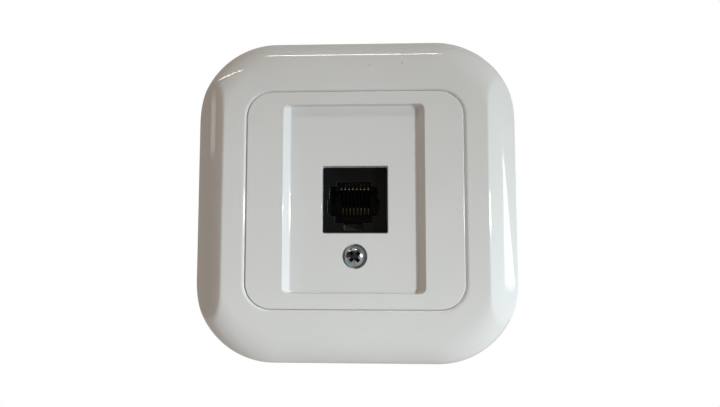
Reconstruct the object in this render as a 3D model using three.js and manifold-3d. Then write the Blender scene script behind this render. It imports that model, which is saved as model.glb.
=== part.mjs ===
// Flush-mounted RJ45 data outlet for a round 60 mm wall box.
//
// Axes: X to the right, Z up, Y into the wall. Y = 0 is the wall surface, which
// is also the rear face of the steel support frame. The room is at negative Y.
// All lengths are in millimetres.
import * as THREE from "three";
import { mergeVertices } from "three/addons/utils/BufferGeometryUtils.js";
import Module from "manifold-3d";

const wasm = await Module();
wasm.setup();

// ---------------------------------------------------------------- dimensions
const FRONT = -9.5; // front plane of the frame and of the centre plate
const SKIRT_BACK = -0.3; // rear edge of the frame's skirt, just off the wall

const FRAME_FLAT = 32.0; // half width of the frame's flat front
const FRAME_FLAT_R = 12.0; // its corner radius
const FRAME_ROLL = 8.1; // how far the rounded flank runs outward
const FRAME_ROLL_DEPTH = 6.0; // and how deep it runs
const FRAME_FACETS = [
  // [half width, depth] of the flat cuts on the left and right flanks
  [32.0, 0],
  [36.6, 2.75],
  [40.1, 6.3],
];
const FRAME_OPENING = 26.65; // half width of the opening for the plate
const FRAME_OPENING_R = 6.6;
const FRAME_OPENING_EDGE = 0.9; // rounding of the opening's front edge
const LEDGE_FRONT = -6.2; // ledge that the plate presses on
const LEDGE_BACK = -4.4;
const LEDGE_OPENING = 24.2;
const COLLAR_IN = 26.9; // wall behind the ledge, which stands on the support frame
const COLLAR_OUT = 28.5;
const COLLAR_BACK = -1.4;

const PLATE_HALF = 26.25; // centre plate, half width
const PLATE_R = 6.2;
const PLATE_EDGE = 0.75; // rounding of its front edge
const PLATE_BACK = -6.45;
const PLATE_WALL = 1.9;
const RECESS = { x0: -17.2, x1: 16.8, z0: -22.5, z1: 23.0, r: 1.4 };
const RECESS_DEPTH = 1.55;
const RECESS_SLOPE = 1.4; // run of its sloping side walls
const FLOOR_BACK = -6.0; // rear of the recess floor
const WINDOW = { x0: -8.15, x1: 8.05, z0: -8.3, z1: 8.15, r: 0.35 };
const SCREW_Z = -13.8; // cover screw, on the plate's centre line
const SCREW_HEAD_R = 2.75;
const SCREW_R = 1.45; // M3
const COUNTERBORE_R = 3.0;
const COUNTERBORE_BACK = -7.15;

const JACK_X = -0.42; // centre of the jack
const JACK_FACE = -5.5;
const JACK_BACK = 10.0;
const JACK_HALF_W = 8.5;
const JACK_Z0 = -8.8;
const JACK_Z1 = 8.8;
const PORT_BACK = 9.4; // rear wall of the port
const PORT_UPPER_HALF = 5.9;
const PORT_LOWER_HALF = 6.35;
const PORT_TOP = 3.3;
const PORT_STEP = 0.2;
const PORT_IN = -3.1;
const PORT_BOTTOM = -3.93;
const SHELF_HALF = 4.55;
const SHELF_BOTTOM = -5.66;
const LATCH_HALF = 2.28;
const LATCH_BOTTOM = -7.5;
const COMB_HALF = 4.18;
const COMB_TOP = 4.45;

const CONTACT_PITCH = 1.016;
const CONTACT_W = 0.38;
const CONTACT_T = 0.3;
const BEND_Y = 2.1; // front bend of the contacts, about which the arms flex
const BEND_Z = 3.75;

const SHEET = 1.2; // support frame's steel
const SUPPORT_HALF = 35.5;
const SUPPORT_R = 12;
const OPENING_X = 18.2;
const OPENING_Z = 20.5;
const BOX_SCREW = 30; // half of the 60 mm screw spacing

const CLAW_SCREW_X = 24.0;
const CLAW_PIVOT = { x: 20.0, y: 9.0 };
const CLAW_HALF = 6.5;

const SLEEVE_X = 17.6;
const SLEEVE_Z = 19.9;
const SLEEVE_WALL = 1.8;
const SLEEVE_BACK = 10.1;
const FLANGE_FRONT = -3.4;
const FLANGE_BACK = -1.4;
const BOARD_FRONT = 10.4;
const BOARD_BACK = 12.0;
const BLOCK_X = 11.0; // centre of each terminal block
const BLOCK_HALF_X = 4.0;
const BLOCK_HALF_Z = 10.6;
const BLOCK_FRONT = 12.3;
const BLOCK_BACK = 21.5;
const SLOT_PITCH = 5.2;

// ------------------------------------------------------------------- helpers
function toSolid(geometry) {
  const g = geometry.clone();
  g.deleteAttribute("normal");
  g.deleteAttribute("uv");
  const m = mergeVertices(g, 1e-4);
  return new wasm.Manifold(
    new wasm.Mesh({
      numProp: 3,
      vertProperties: m.attributes.position.array,
      triVerts: new Uint32Array(m.index.array),
    }),
  );
}

function toGeometry(manifold) {
  const m = manifold.getMesh();
  const g = new THREE.BufferGeometry();
  g.setAttribute(
    "position",
    new THREE.BufferAttribute(new Float32Array(m.vertProperties), 3),
  );
  g.setIndex(new THREE.BufferAttribute(new Uint32Array(m.triVerts), 1));
  const flat = g.toNonIndexed();
  flat.computeVertexNormals();
  return flat;
}

// A rectangle with rounded corners, as a shape in X (right) and Z (up).
function rect(x0, x1, z0, z1, r = 0, n = 4) {
  if (!r)
    return new THREE.Shape([
      new THREE.Vector2(x0, z0),
      new THREE.Vector2(x1, z0),
      new THREE.Vector2(x1, z1),
      new THREE.Vector2(x0, z1),
    ]);
  const p = [];
  for (const [cx, cz, a] of [
    [x1 - r, z0 + r, -90],
    [x1 - r, z1 - r, 0],
    [x0 + r, z1 - r, 90],
    [x0 + r, z0 + r, 180],
  ])
    for (let i = 0; i <= n; i++) {
      const t = ((a + (90 * i) / n) * Math.PI) / 180;
      p.push(new THREE.Vector2(cx + r * Math.cos(t), cz + r * Math.sin(t)));
    }
  return new THREE.Shape(p);
}
const square = (h, r, n = 6) => rect(-h, h, -h, h, r, n);

function polygon(points) {
  return new THREE.Shape(points.map(([a, b]) => new THREE.Vector2(a, b)));
}

// Extrudes a shape in X and Z from y0 back to y1. The bevel, if any, is added
// beyond both ends, as in ExtrudeGeometry.
function slab(shape, y0, y1, bevel) {
  const g = new THREE.ExtrudeGeometry(shape, {
    depth: y1 - y0,
    steps: 1,
    curveSegments: 6,
    bevelEnabled: Boolean(bevel),
    ...bevel,
  });
  g.rotateX(Math.PI / 2);
  g.translate(0, y1, 0);
  return toSolid(g);
}

// Extrudes a profile given as [y, z] points along X.
function alongX(points, x0, x1) {
  const g = new THREE.ExtrudeGeometry(polygon(points), {
    depth: x1 - x0,
    bevelEnabled: false,
  });
  g.applyMatrix4(
    new THREE.Matrix4().makeBasis(
      new THREE.Vector3(0, 1, 0),
      new THREE.Vector3(0, 0, 1),
      new THREE.Vector3(1, 0, 0),
    ),
  );
  g.translate(x0, 0, 0);
  return toSolid(g);
}

// Extrudes a profile given as [x, y] points along Z.
function alongZ(points, z0, z1) {
  const g = new THREE.ExtrudeGeometry(polygon(points), {
    depth: z1 - z0,
    bevelEnabled: false,
  });
  g.translate(0, 0, z0);
  return toSolid(g);
}

function block(x0, x1, y0, y1, z0, z1) {
  const g = new THREE.BoxGeometry(x1 - x0, y1 - y0, z1 - z0);
  g.translate((x0 + x1) / 2, (y0 + y1) / 2, (z0 + z1) / 2);
  return toSolid(g);
}

function cylinderY(x, z, r, y0, y1, n = 24) {
  const g = new THREE.CylinderGeometry(r, r, y1 - y0, n);
  g.translate(x, (y0 + y1) / 2, z);
  return toSolid(g);
}

function cylinderZ(x, y, r, z0, z1, n = 24) {
  const g = new THREE.CylinderGeometry(r, r, z1 - z0, n);
  g.rotateX(Math.PI / 2);
  g.translate(x, y, (z0 + z1) / 2);
  return toSolid(g);
}

// A body turned about the Y axis through (x, z). The profile is [radius, y]
// from the axis at the front to the axis at the back.
function turned(x, z, profile, n = 24) {
  const points = profile.map(([r, y]) => new THREE.Vector2(r, y));
  const g = new THREE.LatheGeometry(points, n);
  g.translate(x, 0, z);
  const m = toSolid(g);
  if (m.volume() > 0) return m;
  return toSolid(new THREE.LatheGeometry(points.reverse(), n).translate(x, 0, z));
}

// A strip of constant thickness along a path of [y, z] points, as a profile.
function strip(path, t) {
  const left = [];
  const right = [];
  for (let i = 0; i < path.length; i++) {
    const a = path[Math.max(0, i - 1)];
    const b = path[i];
    const c = path[Math.min(path.length - 1, i + 1)];
    const d1 = [b[0] - a[0], b[1] - a[1]];
    const d2 = [c[0] - b[0], c[1] - b[1]];
    const l1 = Math.hypot(...d1) || 1;
    const l2 = Math.hypot(...d2) || 1;
    const e1 = i === 0 ? [d2[0] / l2, d2[1] / l2] : [d1[0] / l1, d1[1] / l1];
    const e2 =
      i === path.length - 1 ? e1 : [d2[0] / l2, d2[1] / l2];
    const n = [-(e1[1] + e2[1]), e1[0] + e2[0]];
    const l = Math.hypot(...n);
    const cos = (n[0] * -e1[1] + n[1] * e1[0]) / l;
    const k = t / 2 / Math.max(cos, 0.5) / l;
    left.push([b[0] + n[0] * k, b[1] + n[1] * k]);
    right.push([b[0] - n[0] * k, b[1] - n[1] * k]);
  }
  return [...right, ...left.reverse()];
}

const outlet = new THREE.Group();
function add(parent, name, manifold, look) {
  const mesh = new THREE.Mesh(
    toGeometry(manifold),
    new THREE.MeshStandardMaterial(look),
  );
  mesh.name = name;
  parent.add(mesh);
  return mesh;
}

const GLOSS_WHITE = { color: 0xe6e6e2, roughness: 0.22, metalness: 0 };
const BLACK = { color: 0x16171a, roughness: 0.4, metalness: 0 };
const GREY = { color: 0xb9bab6, roughness: 0.55, metalness: 0 };
const ZINC = { color: 0xb4b8bb, roughness: 0.32, metalness: 1 };
const GALVANISED = { color: 0xa9adaf, roughness: 0.45, metalness: 1 };
const GOLD = { color: 0xd9b45a, roughness: 0.25, metalness: 1 };
const TIN = { color: 0xc9cbcc, roughness: 0.3, metalness: 1 };
const BOARD = { color: 0x1e6b3c, roughness: 0.45, metalness: 0 };
const CAP = { color: 0xe9e8e2, roughness: 0.4, metalness: 0 };

// ------------------------------------------------------- cover (room side)
const cover = new THREE.Group();
outlet.add(cover);

// Outer frame: a shell with a flat front ring, a rounded flank and a skirt.
{
  const roll = {
    bevelThickness: FRAME_ROLL_DEPTH,
    bevelSize: FRAME_ROLL,
    bevelSegments: 7,
  };
  const base = FRONT + FRAME_ROLL_DEPTH;
  const outside = slab(square(FRAME_FLAT, FRAME_FLAT_R, 7), base, 1, roll).intersect(
    block(-45, 45, FRONT - 1, SKIRT_BACK, -45, 45),
  );
  // flat cuts that take the bulge off the left and right flanks
  let shaped = outside;
  for (const s of [-1, 1])
    for (let i = 0; i < 2; i++) {
      const [x0, d0] = FRAME_FACETS[i];
      const [x1, d1] = FRAME_FACETS[i + 1];
      const k = (x1 - x0) / (d1 - d0);
      const profile = [
        [x0 - k * (d0 + 2), FRONT - 2],
        [46, FRONT - 2],
        [46, FRONT + d0 + (46 - x0) / k],
      ].map(([x, y]) => [s * x, y]);
      if (s < 0) profile.reverse();
      shaped = shaped.subtract(alongZ(profile, -45, 45));
    }
  const inside = slab(
    square(FRAME_FLAT - 2.6, FRAME_FLAT_R - 2.6, 5),
    base + 2.0,
    2,
    {
      bevelThickness: FRAME_ROLL_DEPTH,
      bevelSize: FRAME_ROLL + 0.4,
      bevelSegments: 5,
    },
  );
  const hollow = inside.subtract(
    slab(square(COLLAR_OUT, 7, 5), FRONT - 1, COLLAR_BACK),
  );
  const opening = slab(
    square(FRAME_OPENING + FRAME_OPENING_EDGE, FRAME_OPENING_R + FRAME_OPENING_EDGE),
    FRONT + FRAME_OPENING_EDGE,
    FRONT + FRAME_OPENING_EDGE + 0.2,
    {
      bevelThickness: FRAME_OPENING_EDGE,
      bevelSize: -FRAME_OPENING_EDGE,
      bevelSegments: 3,
    },
  )
    .intersect(
      block(-30, 30, FRONT - 1, FRONT + FRAME_OPENING_EDGE + 0.1, -30, 30),
    )
    .add(
      slab(square(FRAME_OPENING, FRAME_OPENING_R), FRONT - 0.5, LEDGE_FRONT),
    );
  const mesh = shaped
    .subtract(hollow)
    .subtract(opening)
    .subtract(slab(square(LEDGE_OPENING, 4.6), FRONT - 1, 1))
    .subtract(slab(square(COLLAR_IN, 5.6), LEDGE_BACK, 1));
  add(cover, "outer_frame", mesh, GLOSS_WHITE);
}

// Centre plate: recessed field, jack window and a hole for the cover screw.
{
  const body = slab(
    square(PLATE_HALF - PLATE_EDGE, PLATE_R - PLATE_EDGE),
    FRONT + PLATE_EDGE,
    PLATE_BACK + 3,
    {
      bevelThickness: PLATE_EDGE,
      bevelSize: PLATE_EDGE,
      bevelSegments: 3,
    },
  ).intersect(block(-30, 30, FRONT - 1, PLATE_BACK, -30, 30));
  const under = slab(square(PLATE_HALF - 1.6, PLATE_R - 1.6), FRONT + PLATE_WALL, 1);
  const tray = slab(
    rect(RECESS.x0 - 1.2, RECESS.x1 + 1.2, RECESS.z0 - 1.0, RECESS.z1 + 0.6, 1.5, 3),
    FRONT + 0.5,
    FLOOR_BACK,
  );
  const skirt = slab(square(23.8, 4.2, 5), FRONT + 0.5, -4.9).subtract(
    slab(square(22.7 + 0.0, 3.2, 5), FRONT + PLATE_WALL - 0.1, 1),
  );
  const boss = cylinderY(0, SCREW_Z, 3.9, FRONT + 2, -5.2, 20);
  // recess: upright walls above and below, sloping walls left and right
  const slopes = alongZ(
    [
      [RECESS.x0, FRONT - 1],
      [RECESS.x1, FRONT - 1],
      [RECESS.x1, FRONT + 0.1],
      [RECESS.x1 - RECESS_SLOPE, FRONT + RECESS_DEPTH],
      [RECESS.x0 + RECESS_SLOPE, FRONT + RECESS_DEPTH],
      [RECESS.x0, FRONT + 0.1],
    ],
    RECESS.z0,
    RECESS.z1,
  );
  const recess = slab(
    rect(RECESS.x0, RECESS.x1, RECESS.z0, RECESS.z1, RECESS.r, 4),
    FRONT - 2,
    FRONT + 3,
  ).intersect(slopes);
  const window1 = slab(
    rect(WINDOW.x0 + 0.35, WINDOW.x1 - 0.35, WINDOW.z0 + 0.2, WINDOW.z1 - 0.2, 0.3, 2),
    FRONT - 1,
    1,
  );
  const draft = slab(
    rect(WINDOW.x0, WINDOW.x1, WINDOW.z0, WINDOW.z1, WINDOW.r, 2),
    FRONT - 2,
    FRONT + RECESS_DEPTH,
    { bevelThickness: 1.6, bevelSize: -0.3, bevelSegments: 1 },
  );
  const mesh = body
    .subtract(under)
    .add(tray)
    .add(skirt)
    .add(boss)
    .subtract(recess)
    .subtract(window1)
    .subtract(draft)
    .subtract(cylinderY(0, SCREW_Z, 1.75, FRONT - 1, 1, 20))
    .subtract(cylinderY(0, SCREW_Z, COUNTERBORE_R, FRONT - 1, COUNTERBORE_BACK, 28));
  add(cover, "centre_plate", mesh, GLOSS_WHITE);
}

// Cover screw: M3 with a raised head and a cross recess.
{
  const head = COUNTERBORE_BACK - 0.1;
  const screw = turned(
    0,
    SCREW_Z,
    [
      [0, head - 1.85],
      [0.9, head - 1.78],
      [1.6, head - 1.55],
      [2.2, head - 1.12],
      [2.58, head - 0.62],
      [SCREW_HEAD_R, head - 0.15],
      [SCREW_HEAD_R - 0.1, head],
      [SCREW_R, head],
      [SCREW_R, 8.4],
      [0.9, 9.0],
      [0, 9.0],
    ],
    28,
  );
  const w = 0.42;
  const r = 1.75;
  const cross = [0, 90].map((a) => {
    const g = new THREE.BoxGeometry(2 * r, 1.6, 2 * w);
    g.rotateY(((a + 42) * Math.PI) / 180);
    g.translate(0, head - 1.5, SCREW_Z);
    return toSolid(g);
  });
  add(cover, "cover_screw", screw.subtract(cross[0]).subtract(cross[1]), ZINC);
}

// Washer behind the plate that keeps the screw from falling out.
add(
  cover,
  "screw_retaining_washer",
  cylinderY(0, SCREW_Z, 3.3, -4.95, -4.35, 24).subtract(
    cylinderY(0, SCREW_Z, SCREW_R + 0.1, -6, -3, 20),
  ),
  { color: 0x1c1c1e, roughness: 0.7, metalness: 0 },
);

// ------------------------------------------------------ insert (wall side)
const insert = new THREE.Group();
outlet.add(insert);

// Support frame: stamped sheet steel, with ears bent back for the claws.
{
  let m = slab(square(SUPPORT_HALF, SUPPORT_R, 5), -SHEET, 0);
  const cut = (s) => {
    m = m.subtract(s);
  };
  const through = (shape) => cut(slab(shape, -3, 1));
  through(rect(-OPENING_X, OPENING_X, -OPENING_Z, OPENING_Z, 1.5, 3));
  for (const s of [-1, 1]) {
    // long slots for the box screws, on the 60 mm spacing
    through(rect(s * BOX_SCREW - 1.9, s * BOX_SCREW + 1.9, -5.5, 5.5, 1.85, 4));
    through(rect(-5.5, 5.5, s * BOX_SCREW - 1.9, s * BOX_SCREW + 1.9, 1.85, 4));
    // second pair of slots for a frame that is mounted turned
    for (const t of [-1, 1]) {
      through(
        rect(s * 14.5 - 3.4, s * 14.5 + 3.4, t * 29.2 - 1.5, t * 29.2 + 1.5, 1.45, 3),
      );
      through(rect(s * 29.9 - 1.5, s * 29.9 + 1.5, t * 15 - 3.4, t * 15 + 3.4, 1.45, 3));
      cut(cylinderY(s * 28.6, t * 28.6, 1.6, -3, 1, 14));
    }
    cut(cylinderY(s * CLAW_SCREW_X, 0, 1.75, -3, 1, 18));
    cut(cylinderY(s * 12, s * 22.3, 1.3, -3, 1, 14));
  }
  // stiffening lips, bent towards the room
  for (const s of [-1, 1]) {
    const a = s * SUPPORT_HALF;
    const b = s * (SUPPORT_HALF - 1);
    m = m.add(
      block(-24, 24, -2.8, -SHEET + 0.2, Math.min(a, b), Math.max(a, b)),
    );
    m = m.add(
      block(Math.min(a, b), Math.max(a, b), -2.8, -SHEET + 0.2, -24, 24),
    );
  }
  // ears for the claw pins
  for (const s of [-1, 1])
    for (const t of [-1, 1]) {
      const z0 = t > 0 ? 7.2 : -8.2;
      const x0 = 18.3;
      const x1 = 22.2;
      const profile = [
        [x0, -SHEET + 0.1],
        [24.5, -SHEET + 0.1],
        [24.5, 0.9],
        [x1, 3.4],
        [x1, 9.6],
        [x1 - 1.1, 11.2],
        [x0 + 0.7, 11.2],
        [x0, 10.2],
      ].map(([x, y]) => [s * x, y]);
      if (s < 0) profile.reverse();
      m = m.add(alongZ(profile, z0, z0 + 1));
    }
  for (const s of [-1, 1])
    m = m.subtract(cylinderZ(s * CLAW_PIVOT.x, CLAW_PIVOT.y, 1.15, -10, 10, 16));
  add(insert, "support_frame", m, GALVANISED);
}

// Carrier: moulded box that clips into the support frame and holds the jack,
// the circuit board and the nut of the cover screw.
{
  let m = slab(rect(-20.8, 20.8, -23.4, 23.4, 2, 3), FLANGE_FRONT, FLANGE_BACK).add(
    slab(
      rect(-SLEEVE_X, SLEEVE_X, -SLEEVE_Z, SLEEVE_Z, 1.2, 3),
      FLANGE_BACK - 0.3,
      SLEEVE_BACK,
    ),
  );
  m = m.subtract(
    slab(
      rect(
        -SLEEVE_X + SLEEVE_WALL,
        SLEEVE_X - SLEEVE_WALL,
        -SLEEVE_Z + SLEEVE_WALL,
        SLEEVE_Z - SLEEVE_WALL,
        0.8,
        3,
      ),
      -1.0,
      12,
    ),
  );
  // nut boss below the jack, and posts for the board
  m = m.add(block(-4.6, 4.6, -1.6, 6.4, -18.4, -9.95));
  for (const [x, z] of [
    [-13.2, -15.4],
    [13.2, -15.4],
    [-13.2, 15.4],
    [13.2, 15.4],
  ])
    m = m.add(cylinderY(x, z, 2.2, -1.6, SLEEVE_BACK, 14));
  // window for the jack
  m = m.subtract(
    slab(
      rect(
        JACK_X - JACK_HALF_W - 0.25,
        JACK_X + JACK_HALF_W + 0.25,
        JACK_Z0 - 0.25,
        JACK_Z1 + 0.25,
      ),
      -5,
      12,
    ),
  );
  // screw way and side pocket for the square nut
  m = m.subtract(cylinderY(0, SCREW_Z, 1.7, -5, 12, 18));
  m = m.subtract(block(-6, 2.95, 1.0, 3.1, SCREW_Z - 2.95, SCREW_Z + 2.95));
  // pilot holes
  m = m.subtract(cylinderY(-13.2, -15.4, 1.15, 3.0, 12, 12));
  m = m.subtract(cylinderY(13.2, 15.4, 1.15, 3.0, 12, 12));
  // clearance for the screws that hold the carrier to the support frame
  for (const s of [-1, 1]) {
    m = m.subtract(cylinderY(s * 12, s * 22.3, 1.35, -5, 1, 14));
  }
  add(insert, "module_carrier", m, GREY);
}

// Screws that hold the carrier to the support frame.
for (const [s, name] of [
  [1, "carrier_screw_upper"],
  [-1, "carrier_screw_lower"],
]) {
  const top = FLANGE_FRONT - 0.1;
  const m = turned(
    s * 12,
    s * 22.3,
    [
      [0, top - 1.0],
      [0.9, top - 0.92],
      [1.5, top - 0.62],
      [1.8, top - 0.1],
      [1.8, top],
      [1.05, top],
      [1.05, 0.9],
      [0.6, 1.5],
      [0, 1.5],
    ],
    16,
  );
  const slot = block(s * 12 - 2, s * 12 + 2, top - 2, top - 0.45, s * 22.3 - 0.28, s * 22.3 + 0.28);
  add(insert, name, m.subtract(slot), ZINC);
}

// Square nut of the cover screw, in its pocket.
add(
  insert,
  "cover_screw_nut",
  block(-2.75, 2.75, 1.2, 2.9, SCREW_Z - 2.75, SCREW_Z + 2.75).subtract(
    cylinderY(0, SCREW_Z, SCREW_R + 0.1, -1, 5, 18),
  ),
  ZINC,
);

// Spreading claws, their pins and their screws.
for (const [s, side] of [
  [-1, "left"],
  [1, "right"],
]) {
  const { x: px, y: py } = CLAW_PIVOT;
  let claw = cylinderZ(s * px, py, 1.8, -CLAW_HALF, CLAW_HALF, 18);
  const add2 = (points, z0, z1) => {
    const p = points.map(([x, y]) => [s * x, y]);
    if (s < 0) p.reverse();
    claw = claw.add(alongZ(p, z0, z1));
  };
  // arm, corner and leg, in one bent strip
  add2(
    [
      [px + 0.6, py - 0.6],
      [27.4, py - 0.6],
      [28.2, py + 0.2],
      [28.2, 22.2],
      [27.0, 22.2],
      [27.0, py + 1.2],
      [26.4, py + 0.6],
      [px + 0.6, py + 0.6],
    ],
    -CLAW_HALF,
    CLAW_HALF,
  );
  // gripping teeth, bent outward at the end
  for (let i = 0; i < 4; i++) {
    const z = -CLAW_HALF + 0.35 + i * 3.5;
    add2(
      [
        [27.2, 20.6],
        [28.2, 20.6],
        [29.2, 22.9],
        [28.6, 23.6],
        [27.2, 22.2],
      ],
      z,
      z + 1.8,
    );
  }
  claw = claw
    .subtract(cylinderZ(s * px, py, 1.15, -10, 10, 16))
    .subtract(
      slab(
        rect(
          s > 0 ? px + 2.1 : -px - 6.4,
          s > 0 ? px + 6.4 : -px - 2.1,
          -1.8,
          1.8,
          0.6,
          2,
        ),
        py - 2,
        py + 2,
      ),
    )
    .subtract(
      block(
        s > 0 ? 26.5 : -28.9,
        s > 0 ? 28.9 : -26.5,
        13,
        17.5,
        -2.2,
        2.2,
      ),
    );
  add(insert, `claw_${side}`, claw, GALVANISED);

  const pin = cylinderZ(s * px, py, 1.0, -8.45, 8.45, 16)
    .add(cylinderZ(s * px, py, 1.55, 8.35, 8.95, 16))
    .add(cylinderZ(s * px, py, 1.55, -8.95, -8.35, 16));
  add(insert, `claw_pin_${side}`, pin, ZINC);

  const top = -SHEET - 0.1;
  let screw = turned(
    s * CLAW_SCREW_X,
    0,
    [
      [0, top - 1.75],
      [1.2, top - 1.7],
      [2.0, top - 1.4],
      [2.4, top - 0.7],
      [2.45, top],
      [SCREW_R, top],
      [SCREW_R, 15.4],
      [0.9, 16],
      [0, 16],
    ],
    20,
  );
  screw = screw
    .subtract(
      block(s * CLAW_SCREW_X - 0.32, s * CLAW_SCREW_X + 0.32, top - 3, top - 0.8, -3, 3),
    )
    .subtract(
      block(s * CLAW_SCREW_X - 1.4, s * CLAW_SCREW_X + 1.4, top - 3, top - 0.8, -0.35, 0.35),
    );
  add(insert, `claw_screw_${side}`, screw, ZINC);
}

// ------------------------------------------------------------------- jack
const jack = new THREE.Group();
insert.add(jack);

// Housing with the stepped port, open at the front and above the insert.
{
  const cx = JACK_X;
  let m = slab(
    rect(cx - JACK_HALF_W + 0.3, cx + JACK_HALF_W - 0.3, JACK_Z0 + 0.3, JACK_Z1 - 0.3, 0.2, 1),
    JACK_FACE + 0.3,
    JACK_BACK + 1,
    { bevelThickness: 0.3, bevelSize: 0.3, bevelSegments: 1 },
  ).intersect(block(-12, 12, -8, JACK_BACK, -12, 12));
  const hole = (x0, x1, z0, z1, y1) => {
    m = m.subtract(block(cx + x0, cx + x1, -8, y1, z0, z1));
  };
  hole(-PORT_UPPER_HALF, PORT_UPPER_HALF, PORT_STEP - 0.1, PORT_TOP, PORT_BACK);
  hole(-PORT_LOWER_HALF, PORT_LOWER_HALF, PORT_IN, PORT_STEP, PORT_BACK);
  hole(-PORT_LOWER_HALF + 0.4, PORT_LOWER_HALF - 0.4, PORT_BOTTOM, PORT_IN + 0.1, PORT_BACK);
  hole(-SHELF_HALF, SHELF_HALF, SHELF_BOTTOM, PORT_BOTTOM + 0.1, 4.5);
  hole(-COMB_HALF, COMB_HALF, PORT_TOP - 0.1, COMB_TOP, 3);
  // latch slot, crossed by a bar that catches the plug's latch
  hole(-LATCH_HALF, LATCH_HALF, LATCH_BOTTOM, SHELF_BOTTOM + 0.1, -4.1);
  m = m.subtract(
    block(cx - LATCH_HALF, cx + LATCH_HALF, -4.2, 4.5, -6.9, SHELF_BOTTOM + 0.1),
  );
  m = m.add(block(cx - LATCH_HALF - 0.2, cx + LATCH_HALF + 0.2, -4.1, -3.2, -7.0, -6.05));
  // pocket for the contact insert, open at the back
  m = m.subtract(block(cx - 5.3, cx + 5.3, 1.0, 12, 2.6, 8.05));
  // two clips that hook behind the carrier's window
  m = m.add(block(cx - 2.5, cx + 2.5, -5.0, -3.7, JACK_Z1 - 0.2, JACK_Z1 + 0.7));
  m = m.add(block(cx - 2.5, cx + 2.5, -5.0, -3.7, JACK_Z0 - 0.7, JACK_Z0 + 0.2));
  add(jack, "jack_housing", m, BLACK);
}

// Contact insert: a comb that guides eight spring contacts.
const contactX = (i) => JACK_X + (i - 3.5) * CONTACT_PITCH;
{
  const cx = JACK_X;
  let m = block(cx - 5.1, cx + 5.1, 1.25, 9.9, 2.85, 7.9);
  for (let i = 0; i < 8; i++) {
    const x = contactX(i);
    m = m.subtract(block(x - 0.31, x + 0.31, 0, 11, 2, 5.5));
    if (i % 2) m = m.subtract(block(x - 0.31, x + 0.31, 6.2, 11, 5.2, 7.6));
  }
  add(jack, "contact_insert", m, { color: 0x1b1c1f, roughness: 0.45, metalness: 0 });
}

// Spring arms of the contacts. Each starts at the front bend and slopes back
// and down into the port.
for (let i = 0; i < 8; i++) {
  const x = contactX(i);
  const arm = strip(
    [
      [BEND_Y + 0.45, BEND_Z + 0.12],
      [BEND_Y, BEND_Z + 0.15],
      [BEND_Y - 0.3, BEND_Z - 0.15],
      [BEND_Y - 0.05, BEND_Z - 0.5],
      [6.6, -0.25],
      [7.2, -1.05],
      [7.4, -3.3],
    ],
    CONTACT_T,
  );
  add(jack, `contact_${i + 1}`, alongX(arm, x - CONTACT_W / 2, x + CONTACT_W / 2), GOLD);
}

// Fixed leads, from above the bend over the insert to the circuit board, in
// two rows.
for (let i = 0; i < 8; i++) {
  const x = contactX(i);
  const path = [
    [BEND_Y + 0.45, BEND_Z + 0.62],
    [BEND_Y + 0.0, BEND_Z + 0.65],
    [BEND_Y - 0.3, BEND_Z + 1.0],
    [BEND_Y + 0.1, BEND_Z + 1.4],
  ];
  if (i % 2) path.push([6.6, BEND_Z + 1.4], [7.2, 7.1], [12.7, 7.1]);
  else path.push([12.7, BEND_Z + 1.4]);
  add(
    jack,
    `contact_lead_${i + 1}`,
    alongX(strip(path, CONTACT_T), x - CONTACT_W / 2, x + CONTACT_W / 2),
    GOLD,
  );
}

// ------------------------------------------------------- board and terminals
const rear = new THREE.Group();
insert.add(rear);

const slotZ = (i) => (1.5 - i) * SLOT_PITCH;
{
  let m = slab(
    rect(-17.3, 17.3, -19.5, 19.5, 1, 2),
    BOARD_FRONT,
    BOARD_BACK,
  );
  for (let i = 0; i < 8; i++)
    m = m.subtract(
      cylinderY(contactX(i), i % 2 ? 7.1 : BEND_Z + 1.4, 0.42, 9, 13, 8),
    );
  for (const s of [-1, 1])
    for (let i = 0; i < 4; i++)
      m = m.subtract(cylinderY(s * BLOCK_X, slotZ(i), 0.62, 9, 13, 8));
  for (const s of [-1, 1])
    m = m.subtract(cylinderY(s * 13.2, s * 15.4, 1.3, 9, 13, 14));
  add(rear, "circuit_board", m, BOARD);
}
for (const [s, name] of [
  [1, "board_screw_upper"],
  [-1, "board_screw_lower"],
]) {
  const seat = BOARD_BACK + 0.1;
  const m = turned(
    s * 13.2,
    s * 15.4,
    [
      [0, 4.4],
      [0.9, 5.2],
      [0.95, seat],
      [1.9, seat],
      [1.9, seat + 0.7],
      [1.5, seat + 1.2],
      [0, seat + 1.35],
    ],
    16,
  );
  const slot = block(s * 13.2 - 2.2, s * 13.2 + 2.2, seat + 0.7, seat + 3, s * 15.4 - 0.28, s * 15.4 + 0.28);
  add(rear, name, m.subtract(slot), ZINC);
}

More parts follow.
